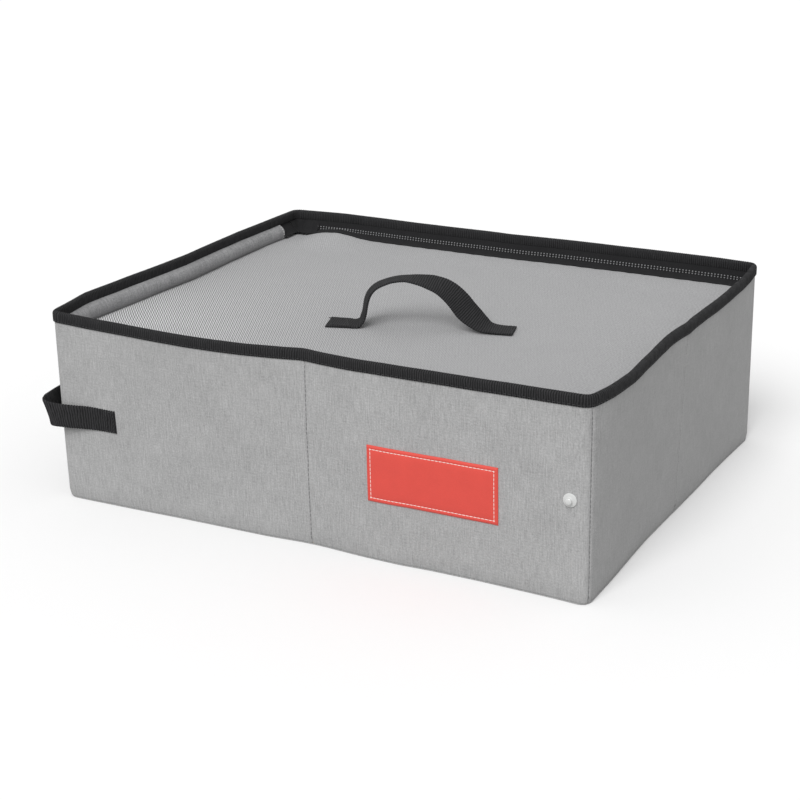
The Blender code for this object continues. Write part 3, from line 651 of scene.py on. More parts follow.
def grain_group():
    """Shader group: fine grain with slow unevenness, from Object coordinates."""
    sockets = {"Size": 1 * MM, "Strength": 0.1}
    tree, given, result = new_group("fine_grain", "ShaderNodeTree", sockets, ("Height", "Tone"))
    place = add_node(tree, "ShaderNodeTexCoord").outputs["Object"]
    scale = calc(tree, "DIVIDE", 1.0, given["Size"])
    cells = add_node(tree, "ShaderNodeTexVoronoi", {"Vector": place, "Scale": scale}).outputs["Distance"]
    slow = object_noise(tree, calc(tree, "MULTIPLY", scale, SLOW_SCALE), 4.0)
    uneven = calc(tree, "SUBTRACT", slow, 0.5)
    mixed = calc(tree, "ADD", uneven, calc(tree, "MULTIPLY", cells, CELL_TONE))
    tone = calc(tree, "ADD", calc(tree, "MULTIPLY", mixed, given["Strength"]), 1.0)
    tree.links.new(cells, result["Height"])
    tree.links.new(tone, result["Tone"])
    return tree


def principled(name, roughness, **sockets):
    """A material with a Principled BSDF, its node tree and that shader."""
    material = bpy.data.materials.new(name)
    material.use_nodes = True
    shader = material.node_tree.nodes["Principled BSDF"]
    shader.inputs["Roughness"].default_value = roughness
    for label, value in sockets.items():
        shader.inputs[label.replace("_", " ")].default_value = value
    return material, material.node_tree, shader


def textured(tree, shader, colour, texture, depth):
    """Base colour times the tone of a texture group, and a bump of its height."""
    toned = {"Color": (*colour, 1), "Value": texture.outputs["Tone"]}
    mixed = add_node(tree, "ShaderNodeHueSaturation", toned)
    tree.links.new(mixed.outputs[0], shader.inputs["Base Color"])
    bump = add_node(tree, "ShaderNodeBump", {"Height": texture.outputs["Height"], "Distance": depth})
    tree.links.new(bump.outputs[0], shader.inputs["Normal"])


def retoned(tree, tone):
    """The base colour that a material has, times one more tone."""
    colour = tree.nodes["Principled BSDF"].inputs["Base Color"]
    plain = colour.links[0].from_socket
    mixed = add_node(tree, "ShaderNodeHueSaturation", {"Color": plain, "Value": tone})
    tree.links.new(mixed.outputs[0], colour)


def cloth_length(tree, label):
    """The length along or across its cloth that a piece keeps."""
    return add_node(tree, "ShaderNodeAttribute", attribute_name=label).outputs["Fac"]


def woven_material(name, colour, pitch, slub, grain, depth, roughness=0.9, sheen=0.08, gloss=0.25):
    """Woven cloth that follows the piece's own lengths."""
    soft = {"Sheen_Weight": sheen, "Sheen_Roughness": 0.5, "Specular_IOR_Level": gloss}
    material, tree, shader = principled(name, roughness, **soft)
    inputs = {"Along": cloth_length(tree, "along"), "Across": cloth_length(tree, "across")}
    inputs.update({"Pitch": pitch, "Slub": slub, "Grain": grain})
    weave = add_node(tree, "ShaderNodeGroup", inputs, node_tree=GROUPS["woven"])
    textured(tree, shader, colour, weave, depth)
    return material


WEBBING_THREAD = 0.8 * MM
# Painted shade in the ribs' valleys and painted light on their crests, as a share of the colour
RIB_SHADE = 0.55
RIB_WANDER = 0.9


def webbing_material(name, colour, pitch):
    """Black webbing: woven, with painted shade in the valleys between its ribs and painted light on the
    ribs.
    """
    material = woven_material(name, colour, WEBBING_THREAD, 0.7, 0.7, 0.12 * MM, 0.85, 0.02, 0.08)
    tree = material.node_tree
    ribs = calc(tree, "DIVIDE", cloth_length(tree, "along"), pitch)
    turns = calc(tree, "MULTIPLY_ADD", object_noise(tree, 220.0, 2.0), RIB_WANDER, ribs)
    # Painted light and shade of the ribs
    retoned(tree, calc(tree, "MULTIPLY_ADD", waved(tree, turns), RIB_SHADE, 1.0))
    return material


# Turns per millimetre along and across the lid of its twill's waves, and how strong each is
TWILL = ((0.49, 0.45, 1.0), (0.42, 0.20, 0.35))
TWILL_WANDER = 0.6
# Painted light on the lid's front left corner: its centre, how fast it fades, its strength there and
# elsewhere, and how much it brightens the cloth
LIT_CORNER_CENTRE = (-190 * MM, -130 * MM)
LIT_CORNER_FALL = 150 * MM
LIT_CORNER_FULL = 0.72
LIT_CORNER_REST = 0.06
LIT_CORNER_GLOW = 0.35


def twilled_material(name, colour, pitch, grain, depth):
    """The lid's cloth: a slanting twill, with painted light that brightens its front left corner, where the
    twill stands out most.
    """
    material = woven_material(name, colour, pitch, 0.2, grain, depth)
    tree = material.node_tree
    lengths = [cloth_length(tree, label) for label in ("along", "across")]
    slow = object_noise(tree, 60.0, 2.0)
    total = 0.0
    for wide, deep, weight in TWILL:
        turns = calc(tree, "MULTIPLY", lengths[1], deep / MM)
        turns = calc(tree, "MULTIPLY_ADD", lengths[0], wide / MM, turns)
        phase = calc(tree, "MULTIPLY_ADD", slow, TWILL_WANDER, turns)
        total = calc(tree, "MULTIPLY_ADD", waved(tree, phase), weight, total)
    far = 0.0
    for length, corner in zip(lengths, LIT_CORNER_CENTRE):
        off = calc(tree, "SUBTRACT", length, corner)
        far = calc(tree, "MULTIPLY_ADD", off, off, far)
    fall = calc(tree, "EXPONENT", calc(tree, "DIVIDE", far, -LIT_CORNER_FALL * LIT_CORNER_FALL))
    # Painted light: strongest at the front left corner, where it also raises the twill's contrast
    corner_light = calc(tree, "MULTIPLY_ADD", fall, LIT_CORNER_FULL, LIT_CORNER_REST)
    twill_and_glow = calc(tree, "MULTIPLY_ADD", corner_light, LIT_CORNER_GLOW, total)
    retoned(tree, calc(tree, "MULTIPLY_ADD", twill_and_glow, corner_light, 1.0))
    return material


def linear(*levels):
    """A colour written as 0 to 255 in sRGB, made linear."""
    shares = [level / 255 for level in levels]
    return tuple(
        share / 12.92 if share <= 0.04045 else ((share + 0.055) / 1.055) ** 2.4 for share in shares
    )


class LitterBoxSizes(bpy.types.PropertyGroup):
    """Sizes of the sewn details."""

    rib_pitch: FloatProperty(
        name="Rib pitch", description="Distance between the webbing's ribs", default=1.6 * MM, unit="LENGTH"
    )
    rib_depth: FloatProperty(
        name="Rib depth", description="Height of the webbing's ribs", default=0.12 * MM, unit="LENGTH"
    )
    stitch_spacing: FloatProperty(
        name="Stitch spacing", description="One stitch with its gap", default=3.2 * MM, unit="LENGTH"
    )
    thread_radius: FloatProperty(
        name="Thread radius", description="Half the thread's thickness", default=0.2 * MM, unit="LENGTH"
    )
    tooth_pitch: FloatProperty(
        name="Coil pitch", description="Distance between the coil's turns", default=2.5 * MM, unit="LENGTH"
    )
    cloth_pitch: FloatProperty(
        name="Thread pitch", description="Distance between the threads", default=1.1 * MM, unit="LENGTH"
    )


class LitterBoxColours(bpy.types.PropertyGroup):
    """Colours of the materials, linear."""

    cloth: FloatVectorProperty(
        name="Cloth", description="Outer cloth", subtype="COLOR", default=linear(168, 168, 168)
    )
    lid: FloatVectorProperty(
        name="Lid", description="Lid cloth", subtype="COLOR", default=linear(159, 159, 160)
    )
    # The hinge strip's grey holds painted shade: darker than the lid's cloth for the shade on its slope
    strip: FloatVectorProperty(
        name="Hinge strip", description="Strip by the lid", subtype="COLOR", default=linear(145, 145, 146)
    )
    webbing: FloatVectorProperty(
        name="Webbing", description="Rim, handle and strap", subtype="COLOR", default=linear(44, 44, 45)
    )
    tape: FloatVectorProperty(
        name="Zip tape", description="Zip tape", subtype="COLOR", default=linear(35, 35, 36)
    )
    lining: FloatVectorProperty(
        name="Lining", description="Waterproof lining", subtype="COLOR", default=linear(186, 187, 188)
    )
    board: FloatVectorProperty(
        name="Board", description="Stiffening board", subtype="COLOR", default=linear(176, 160, 132)
    )
    label: FloatVectorProperty(
        name="Label", description="Label", subtype="COLOR", default=linear(216, 78, 68)
    )
    thread: FloatVectorProperty(
        name="Label thread", description="Label's border", subtype="COLOR", default=linear(244, 226, 220)
    )


def sizes():
    """The scene's sizes."""
    return bpy.context.scene.litter_box_sizes


def colours():
    """The scene's colours."""
    return bpy.context.scene.litter_box_colours


STRAP_RIB = 1.25
STRAP_RIB_DEPTH = 1.6
# Finishes with a fine grain: name, colour, the grain's size, strength and depth, roughness, other inputs
GRAINED = {
    "board": ("stiffening_board", "board", 0.9, 0.3, 0.08, 0.88, {}),
    "label": ("label_leatherette", "label", 0.7, 0.10, 0.05, 0.5, {"Specular_IOR_Level": 0.35}),
    "label_thread": ("label_thread", "thread", 0.3, 0.15, 0.03, 0.7, {}),
    "grey_thread": ("grey_thread", (112, 112, 113), 0.3, 0.3, 0.03, 0.8, {}),
    "pale_thread": ("pale_thread", (212, 212, 210), 0.3, 0.2, 0.03, 0.8, {}),
    "black_thread": ("black_thread", (40, 40, 41), 0.3, 0.3, 0.03, 0.7, {}),
    # The coil is black nylon painted light grey: a painted highlight for its glints
    "coil": ("nylon_coil", (132, 132, 134), 0.6, 0.2, 0.02, 0.55, {"Specular_IOR_Level": 0.25}),
    "metal": ("black_painted_zinc", (42, 42, 44), 0.8, 0.2, 0.02, 0.38, {"Metallic": 0.6}),
    # The seams' thread, darkened further with painted shade of the seam's groove
    "seam_shadow": ("seam_thread", (122, 122, 123), 0.3, 0.3, 0.03, 0.9, {"Specular_IOR_Level": 0.1}),
    "snap": ("milky_plastic", (206, 207, 206), 1.2, 0.05, 0.01, 0.22, {"Coat_Weight": 0.5}),
}


def make_materials():
    """Every finish of the box."""
    tint = {name: tuple(getattr(colours(), name)) for name in LitterBoxColours.__annotations__}
    pitch = sizes().cloth_pitch
    rib = sizes().rib_pitch
    GROUPS.update(woven=woven_group(), grain=grain_group())
    TREES.update(row=sewn_row_tree(), ribs=ribbed_tree())
    MATERIALS.update(
        cloth=woven_material("outer_cloth", tint["cloth"], pitch, 0.66, 0.62, 0.12 * MM),
        side_cloth=woven_material("side_cloth", tint["cloth"], pitch, 0.45, 0.45, 0.08 * MM),
        lid=twilled_material("lid_cloth", tint["lid"], pitch, 0.85, 0.10 * MM),
        strip=woven_material("strip_cloth", tint["strip"], pitch, 0.8, 0.9, 0.15 * MM),
        webbing=webbing_material("ribbed_webbing", tint["webbing"], rib),
        strap=webbing_material("strap_webbing", tint["webbing"], rib * STRAP_RIB),
        tape=woven_material("zip_tape", tint["tape"], 0.6 * MM, 0.5, 0.5, 0.10 * MM, 0.85, 0.03, 0.1),
        lining=woven_material("coated_lining", tint["lining"], 0.7 * MM, 0.06, 0.04, 0.04 * MM, 0.45, 0.0),
    )
    for key, (name, colour, size, strength, depth, roughness, others) in GRAINED.items():
        material, tree, shader = principled(name, roughness, **others)
        inputs = {"Size": size * MM, "Strength": strength}
        grain = add_node(tree, "ShaderNodeGroup", inputs, node_tree=GROUPS["grain"])
        colour = tint[colour] if colour in tint else linear(*colour)
        textured(tree, shader, colour, grain, depth * MM)
        MATERIALS[key] = material


def declare(piece, nodes=(), body=None):
    """Hide the CAD nodes that a piece stands for, and attach it to the body that carries it."""
    if nodes:
        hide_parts(*nodes)
    if body:
        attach(piece, body)
    return piece


def fold_between(piece):
    """Give a piece its own copy of its mesh."""
    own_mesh(piece)


def carry(piece, part):
    """Attach a back, front or right front piece to its part's body, and bake the transform of the other
    parts' pieces.
    """
    body = PARTS[part][3]
    if part in ("back", "front", "right_front"):
        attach(piece, body)
    elif part == "left_front":
        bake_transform(piece)
    else:
        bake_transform(piece)


def stretch(part):
    """Read a wall part's entry; nothing more is done."""
    wall, low, high, body = PARTS[part]


SEAM_GROOVE = 0.8 * MM
SEAM_GROOVE_WIDTH = 0.6 * MM
SEAM_PLACES = np.array((-2.6, -1.7, -1.1, -0.7, -0.4, -0.15, 0.0, 0.15, 0.4, 0.7, 1.1, 1.7, 2.6)) * MM
CORNER_SEAM = STRAIGHT + ROUND * 1.1
SEAMS = {
    "front": (2 * MM, CORNER_SEAM, -CORNER_SEAM), "back": (0.0, CORNER_SEAM, -CORNER_SEAM),
    "left": (0.0,), "right": (0.0,),
}
CLOTH_ROWS = 30
LONG_STEP = 1.5 * MM
SHORT_STEP = 2 * MM
HEM_HEIGHT = 4 * MM
HEM_TUCK = 0.9 * MM


def with_seams(along, places):
    """Places along a wall with more of them close beside its seams."""
    both = np.concatenate([along] + [place + SEAM_PLACES for place in places])
    both = np.unique(np.round(both, 6))
    return both[(both >= along[0] - 1e-9) & (both <= along[-1] + 1e-9)]


def cloth_sections(along, seams):
    """Rings of a wall's cloth with its grooved seams and its tucked hem."""
    rings = np.repeat(sheet_section(*COVER, FOOT, WALL_TOP, CLOTH_ROWS)[None], len(along), axis=0)
    tuck = HEM_TUCK * (1 - smooth(rings[:, :, 1], FOOT, FOOT + HEM_HEIGHT))
    groove = sum(SEAM_GROOVE * np.exp(-np.abs(along - place) / SEAM_GROOVE_WIDTH) for place in seams)
    rings[:, :, 0] += tuck + groove[:, None]
    return rings


def make_covers():
    """The outer cloth of the six wall parts."""
    for part, (wall, low, high, body) in PARTS.items():
        size, finish = (LONG_STEP, "cloth") if part == wall else (SHORT_STEP, "side_cloth")
        along = with_seams(steps(low, high, size), SEAMS[wall])
        piece = swept("cloth_" + part, wall, along, cloth_sections(along, SEAMS[wall]), finish)
        declare(piece, ("cover_" + part,))
        carry(piece, part)
        stretch(part)


BOARD_GAP = 2.4 * MM
BOARD_ROWS = 14
BOARD_STEP = 6 * MM
# Heights between which the layers draw together under the rim, and the lining's inset there
LAYERS_APART = RIM - 21 * MM
LAYERS_MET = RIM - 9 * MM
LINER_MET = 1.4 * MM


def rear_or_front(wide, narrow, edge, crease, facing):
    """Outline of the rear or front part of the floor, which the short walls fold in beside."""
    outline = [(-wide, edge), (-narrow, crease), (narrow, crease), (wide, edge)]
    return [(x, facing * y) for x, y in outline]


def make_boards():
    """The stiffening boards in the walls, bent as the walls are, and those of the base and lid."""
    ring = sheet_section(*BOARD, FOOT, LAYERS_APART, BOARD_ROWS)
    for part, (wall, low, high, body) in PARTS.items():
        boards = {part: (low + BOARD_GAP / 2, high - BOARD_GAP / 2)}
        if part == wall:
            boards = {part + "_left": (-STRAIGHT, -BOARD_GAP), part + "_right": (BOARD_GAP, STRAIGHT)}
        for name, run in boards.items():
            piece = swept("panel_" + name, wall, steps(*run, BOARD_STEP), ring, "board")
            declare(piece, ("board_" + name,), body)
    for node in ("lid_board_rear", "lid_board_front"):
        frame["nodes"][node].data.materials.clear()
        frame["nodes"][node].data.materials.append(MATERIALS["board"])
    for name, facing in (("rear", 1), ("front", -1)):
        node = "base_board_" + name
        low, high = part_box(node)
        edge = max(high.y, -low.y)
        crease = min(abs(low.y), abs(high.y))
        outline = rear_or_front(high.x, high.x - edge + crease, edge, crease, facing)
        declare(outline_sheet("base_panel_" + name, outline, node, "board"), (node,), node)


FLOOR_BEVEL = 0.15 * MM
FLOOR_CREASE = 0.3 * MM


def make_linings():
    """The waterproof lining of the walls and of the floor."""
    heights = steps(FOOT, LAYERS_APART, 5 * MM)[:-1]
    heights = np.concatenate((heights, steps(LAYERS_APART, WALL_TOP, 1.5 * MM)))
    middle = sum(LINER) / 2
    inset = middle + (LINER_MET - middle) * smooth(heights, LAYERS_APART, LAYERS_MET)
    ring = thickened(np.column_stack((inset, heights)), LINER[1] - LINER[0])
    for part, (wall, low, high, body) in PARTS.items():
        piece = swept("lining_" + part, wall, steps(low, high, 3 * MM), ring, "lining")
        declare(piece, ("liner_" + part,))
        carry(piece, part)
        stretch(part)
    wide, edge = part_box("floor_liner")[1].xy
    narrow = wide - edge
    for name, facing in (("rear", 1), ("front", -1)):
        outline = rear_or_front(wide, narrow, edge, FLOOR_CREASE, facing)
        piece = outline_sheet("floor_lining_" + name, outline, "floor_liner", "lining", FLOOR_BEVEL)
        declare(piece, ("floor_liner",), "base_board_" + name)
    for name, facing in (("left", -1), ("right", 1)):
        outline = [(facing * wide, -edge), (facing * (narrow + FLOOR_CREASE), 0), (facing * wide, edge)]
        piece = outline_sheet("floor_lining_" + name, outline, "floor_liner", "lining", FLOOR_BEVEL)
        declare(piece, ("floor_liner",), "back_wall")
        fold_between(piece)


BINDING_STEP = 0.5 * MM
BINDING_THICK = 0.9 * MM
BINDING_OUTER = -0.95 * MM
BINDING_INNER = 3.5 * MM
BINDING_CROWN = 2.2 * MM
CROWN_POINTS = 11
SHOULDER_DROP = 2 * MM
OUTER_DROP = 7.6 * MM
INNER_DROP = 7 * MM
LEFT_FRONT_DROP = 7.4 * MM
# How the webbing's edges are rounded
EDGE_IN = 0.3 * MM
EDGE_UP = 0.5 * MM
EDGE_BACK = 0.2 * MM


def binding_ring(inner_drop):
    """Ring of the webbing folded over the rim, round along its top."""
    outer, inner, thick = BINDING_OUTER, BINDING_INNER, BINDING_THICK
    turns = np.linspace(math.pi, 0, CROWN_POINTS)
    spring = RIM - BINDING_CROWN
    arches = []
    for less in (0, thick):
        inset = (outer + inner) / 2 + ((inner - outer) / 2 - less) * np.cos(turns)
        arches.append(list(zip(inset, spring + (BINDING_CROWN - less) * np.sin(turns))))
    shoulder = spring - SHOULDER_DROP
    low_out, low_in = RIM - OUTER_DROP, RIM - inner_drop
    ring = [(outer + EDGE_IN, low_out), (outer, low_out + EDGE_UP), (outer, shoulder), *arches[0]]
    ring += [(inner, low_in + EDGE_UP), (inner - EDGE_IN, low_in), (inner - thick, low_in + EDGE_BACK)]
    ring += [*arches[1][::-1], (outer + thick, shoulder), (outer + thick, low_out + EDGE_BACK)]
    return np.array(ring)


def make_bindings():
    """The ribbed webbing that binds the rim."""
    for part, (wall, low, high, body) in PARTS.items():
        ring = binding_ring(LEFT_FRONT_DROP if part == "left_front" else INNER_DROP)
        piece = swept("rim_" + part, wall, steps(low, high, BINDING_STEP), ring, "webbing")
        declare(ribbed(piece, "webbing"), ("binding_" + part,))
        carry(piece, part)


BASE_INSET = 0.6 * MM
BASE_BEVEL = 0.25 * MM
CORNER_STEPS = 8


def make_base():
    """The base cloth that the box stands on, a rectangle with rounded corners."""
    outline = []
    for quarter, (along, across) in enumerate(((1, 1), (-1, 1), (-1, -1), (1, -1))):
        for turn in math.pi / 2 * (quarter + np.arange(CORNER_STEPS + 1) / CORNER_STEPS):
            x = along * (SIDE - BASE_INSET - ROUND) + ROUND * math.cos(turn)
            outline.append((x, across * (REACH - BASE_INSET - ROUND) + ROUND * math.sin(turn)))
    piece = outline_sheet("base_cloth", outline, "base_cover", "cloth", BASE_BEVEL)
    declare(piece, ("base_cover",), "back_wall")
    fold_between(piece)


# The lid's cloth: its lift along the back zip, its bump near the back left corner, its waves
BACK_LIFT = 2.2 * MM
BACK_LIFT_Y = (112 * MM, 146 * MM)
BACK_LIFT_X = (-187 * MM, -170 * MM)
BUMP = 3.2 * MM
BUMP_X = -154 * MM
BUMP_WIDTH = 21 * MM
LEFT_LIFT = 0.8 * MM
LEFT_LIFT_Y = (40 * MM, 120 * MM)
LEFT_LIFT_X = (-190 * MM, -150 * MM)
LID_WAVE = 0.5 * MM
WAVE_STRETCH = 0.55
PUCKER = 0.3 * MM
PUCKER_RUN = 4.2 * MM
PUCKER_Y = (135 * MM, 146 * MM)
BORDER = 135.5 * MM
LID_EDGE = REACH - 10 * MM
LID_RIGHT = SIDE - 11 * MM
LID_THICK = 0.8 * MM
LID_OVERLAP = 0.6 * MM
LINING_TOP = LID_FOOT - 2.0 * MM
LINING_FOOT = LID_FOOT - 2.25 * MM
# How far the lid's lining reaches past its boards, to the right and to front and back
LINING_PAST = (0.6 * MM, 0.8 * MM)
CREASE_RUN = 15 * MM


def lid_lift(x, y):
    """How far the lid's cloth stands above its nominal height."""
    back = smooth(y, *BACK_LIFT_Y) * smooth(x, *BACK_LIFT_X)
    bump = BUMP * np.exp(-((x - BUMP_X) / BUMP_WIDTH) ** 2)
    wave = LID_WAVE * (0.5 + 0.5 * ripple(x * WAVE_STRETCH, y * WAVE_STRETCH, 2.4))
    pucker = PUCKER * np.sin(x / PUCKER_RUN) * smooth(np.abs(y), *PUCKER_Y)
    corner = LEFT_LIFT * smooth(y, *LEFT_LIFT_Y) * (1 - smooth(x, *LEFT_LIFT_X)) * (1 - back)
    return back * (BACK_LIFT + bump) + corner + wave + np.abs(pucker)


def lid_top(x, y):
    """Height of the upper face of the lid's cloth."""
    return LID_TOP + lid_lift(x, y)


def lid_under(x, y):
    """Height of the lower face of the lid's cloth."""
    return lid_top(x, y) - LID_THICK


def lining_top(x, y):
    """Height of the upper face of the lid's lining."""
    return np.full_like(x, LINING_TOP)


def lining_under(x, y):
    """Height of the lower face of the lid's lining."""
    return np.full_like(x, LINING_FOOT)


def make_lid():
    """The lid's cloth in three lengths, and its lining."""
    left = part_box("lid_cover")[0].x - LID_OVERLAP
    xs = steps(left, LID_RIGHT, 4 * MM)
    crease = PIVOT["lid_crease"].z
    boards = ["lid_board_rear", "lid_board_front"]
    fold = ("lid_rear", "lid_front", CREASE_RUN, -CREASE_RUN, crease)
    lengths = (
        ("lid_cloth", -BORDER, BORDER, 4 * MM, boards, fold),
        (
            "lid_cloth_back_edge", BORDER, LID_EDGE, 1.6 * MM, ["zip_tape_under_back"],
            ("lid", "lid_rear", LID_EDGE, BORDER, 0),
        ),
        (
            "lid_cloth_front_edge", -LID_EDGE, -BORDER, 1.6 * MM, ["zip_tape_under_front"],
            ("lid_front", "lid_zip_front", -BORDER, -LID_EDGE, 0),
        ),
    )
    for name, near, far, size, below, (first, second, start, end, height) in lengths:
        piece = grid_sheet(name, xs, steps(near, far, size), lid_top, lid_under, "lid")
        declare(piece, ("lid_cover",))
        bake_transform(piece)
    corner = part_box("lid_board_rear")[1]
    right, edge = corner.x + LINING_PAST[0], corner.y + LINING_PAST[1]
    xs, ys = steps(left, right, 8 * MM), steps(-edge, edge, 5 * MM)
    lining = grid_sheet("lid_lining", xs, ys, lining_top, lining_under, "lining", False)
    declare(lining)
    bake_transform(lining)


STRIP_SHORT = 13 * MM
STRIP_THICK = 0.8 * MM
# The hinge strip's line as insets and heights, in millimetres: from the rim over its bulge, under the lid
STRIP_LINE = (
    (2.1, 134.5), (2.1, 132.6), (2.4, 131.3), (3.7, 129.9), (5.7, 128.5), (7.0, 126.4), (7.4, 123.9),
    (7.0, 121.9), (6.0, 120.4), (5.3, 119.2), (5.1, 118.0), (5.6, 117.1), (7.0, 116.8), (9.8, 116.8),
)
STRIP_PLUMP = 0.6 * MM
STRIP_CRINKLE = 0.25 * MM
CRINKLE_RUN = 2.1 * MM
CRINKLE_GROUP = 15 * MM
STRIP_RISE = 12 * MM
STRIP_STITCH_END = 1.2 * MM
STRIP_STITCH_IN = 0.5 * MM


def make_hinge_strip():
    """The strip of cloth that joins the lid to the left wall under the rim, and its end stitches."""
    low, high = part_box("lid_hinge_strip")
    line, lengths = curved(STRIP_LINE, 0.7 * MM)
    end = high.y - STRIP_SHORT
    along = steps(low.y, end, 1.5 * MM)
    rings = np.repeat(thickened(line, STRIP_THICK)[None], len(along), axis=0)
    plump = STRIP_PLUMP * ripple(along * 0.7, along * 0.3, 1.1)
    plump += STRIP_CRINKLE * np.sin(along / CRINKLE_RUN) * np.sin(along / CRINKLE_GROUP)
    middle = np.sin(math.pi * np.clip((rings[:, :, 1] - LID_TOP) / STRIP_RISE, 0, 1))
    rings[:, :, 0] += plump[:, None] * middle
    piece = swept("hinge_strip", "left", along, rings, "strip")
    declare(piece, ("lid_hinge_strip",), "lid")
    fold_between(piece)
    shown = line[(line[:, 1] > LID_TOP + 1 * MM) & (line[:, 1] < RIM - 7 * MM)]
    near = np.full(len(shown), end - STRIP_STITCH_END)
    row = wall_line("left", near, shown[:, 0] + STRIP_STITCH_IN, shown[:, 1])
    stitches = sewn("strip_stitches", [row], "lid_cloth", "pale_thread", *STITCHES["strip"])
    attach(stitches, "lid")
    fold_between(stitches)


# The zipper: places on its section, as insets and heights
COIL_INSET = 5.4 * MM
LOWER_COIL_INSET = COIL_INSET + 0.15 * MM
UPPER_COIL = SLIT + 0.65 * MM
LOWER_COIL = SLIT - 1.0 * MM
COIL_CLEAR = 1.4 * MM
TAPE_THICK = 0.5 * MM
LOWER_TAPE_THICK = 0.6 * MM
GATHERED_THICK = 0.7 * MM
# How far the lower tape's head stands over its coil, and its foot over the lid's cloth
LOWER_HEAD = 0.3 * MM
LOWER_FOOT = 0.2 * MM
TAPE_STEP = 3 * MM
COIL_STEP = 2 * MM
LINE_STEP = 0.8 * MM
COIL_LENGTH = 1.2 * MM
COIL_RADIUS = 0.56 * MM
COIL_START = -180 * MM
COIL_STOP = STRAIGHT + 3 * MM
COIL_REACH = REACH - 6.5 * MM
# Insets of the tapes, in millimetres: the upper with its heights, the lower with its shares of height
UPPER_TAPE = (
    (2.15, 136.2), (2.15, 132.5), (2.9, 130.8), (3.6, 129.0), (4.2, 127.4), (4.6, 126.2), (4.8, 125.3),
)
LOWER_TAPE = (
    (5.2, 1.0), (5.1, 0.84), (5.2, 0.70), (5.9, 0.55), (7.2, 0.38), (9.0, 0.18), (10.6, 0.06), (12.6, 0.04),
)


def lower_coil(x, y):
    """Heights of the lid's coil, which stays clear of the cloth where the lid is pushed up."""
    return np.maximum(LOWER_COIL, lid_top(x, y) + COIL_CLEAR)


def lower_tape_rings(x, y):
    """Rings of the lid's zip tape: from its coil down to the lid's cloth, however high that lies."""
    insets, shares = np.array(LOWER_TAPE).T
    ends = zip(lower_coil(x, y) + LOWER_HEAD, lid_top(x, y) + LOWER_FOOT)
    lines = [np.column_stack((insets * MM, foot + (head - foot) * shares)) for head, foot in ends]
    return np.array([thickened(line, LOWER_TAPE_THICK) for line in lines])


def coil(name, wall, along, inset, height):
    """A row of the coil's turns along a wall."""
    line = wall_line(wall, along, inset, height)
    return sewn(name, [line], "zip_tape", "coil", sizes().tooth_pitch, COIL_LENGTH, COIL_RADIUS, True)


def make_zipper():
    """Both halves of the zipper: tapes and coil."""
    upper_ring = thickened(curved(UPPER_TAPE, LINE_STEP)[0], TAPE_THICK)
    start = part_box("zip_tape_back")[0].x
    for part, (wall, low, high, body) in PARTS.items():
        if wall == "left":
            continue
        tape_run = coil_run = steps(low, high, TAPE_STEP)
        if part == wall:
            tape_run, coil_run = steps(start, high, TAPE_STEP), steps(COIL_START, high, COIL_STEP)
        tape = swept("zip_tape_wall_" + part, wall, tape_run, upper_ring, "tape")
        carry(declare(tape, ("zip_tape_" + part,)), part)
        carry(coil("zip_coil_" + part, wall, coil_run, COIL_INSET, UPPER_COIL), part)
    for wall, sign, body in (("back", 1, "lid"), ("front", -1, "lid_zip_front")):
        along = steps(COIL_START - 2 * MM, COIL_STOP, TAPE_STEP)
        rings = lower_tape_rings(along, np.full_like(along, sign * LID_EDGE))
        tape = swept("zip_tape_under_" + wall, wall, along, rings, "tape")
        declare(tape, ("zip_tape_lid_" + wall,), body)
        along = steps(COIL_START, COIL_STOP, COIL_STEP)
        heights = lower_coil(along, np.full_like(along, sign * LID_EDGE))
        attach(coil("zip_coil_under_" + wall, wall, along, LOWER_COIL_INSET, heights), body)
    along = steps(-COIL_REACH, COIL_REACH, TAPE_STEP)
    rings = lower_tape_rings(np.full_like(along, LID_RIGHT), np.clip(along, -LID_EDGE, LID_EDGE))
    tape = swept("zip_tape_under_right", "right", along, rings, "tape")
    declare(tape, ("zip_tape_lid_right",), "lid")
    fold_between(tape)
    along = steps(-COIL_REACH, COIL_REACH, COIL_STEP)
    turns = coil("zip_coil_under_right", "right", along, LOWER_COIL_INSET, LOWER_COIL)
    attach(turns, "lid")
    fold_between(turns)


# Insets and heights of the tape behind the strip's end, in millimetres
CORNER_TAPE = (
    (2.15, 136.2), (2.15, 131.0), (2.8, 129.0), (4.8, 126.5), (6.6, 124.2), (8.2, 122.6), (9.4, 121.9),
)
TAPE_END = -174 * MM
# Heights and insets of the gathered tape, in millimetres
TAPE_END_INSETS = ((121.5, 11.0), (124.0, 7.4), (129.0, 3.6), (131.0, 2.15))
# Its folds' two waves: depth and run in millimetres, and phase
TAPE_FOLDS = ((0.9, 1.15, 0.0), (1.0, 2.9, 1.0))
# Its heights, how far along it the folds come in and go out, and how far down they are fully loose
GATHER_HEIGHTS = (LID_TOP + 3 * MM, RIM - 4 * MM)
GATHER_ROWS = 18
GATHER_IN = 8 * MM
GATHER_OUT = 10 * MM
GATHER_LOOSE = 0.6
GATHER_OFF = 1.0 * MM


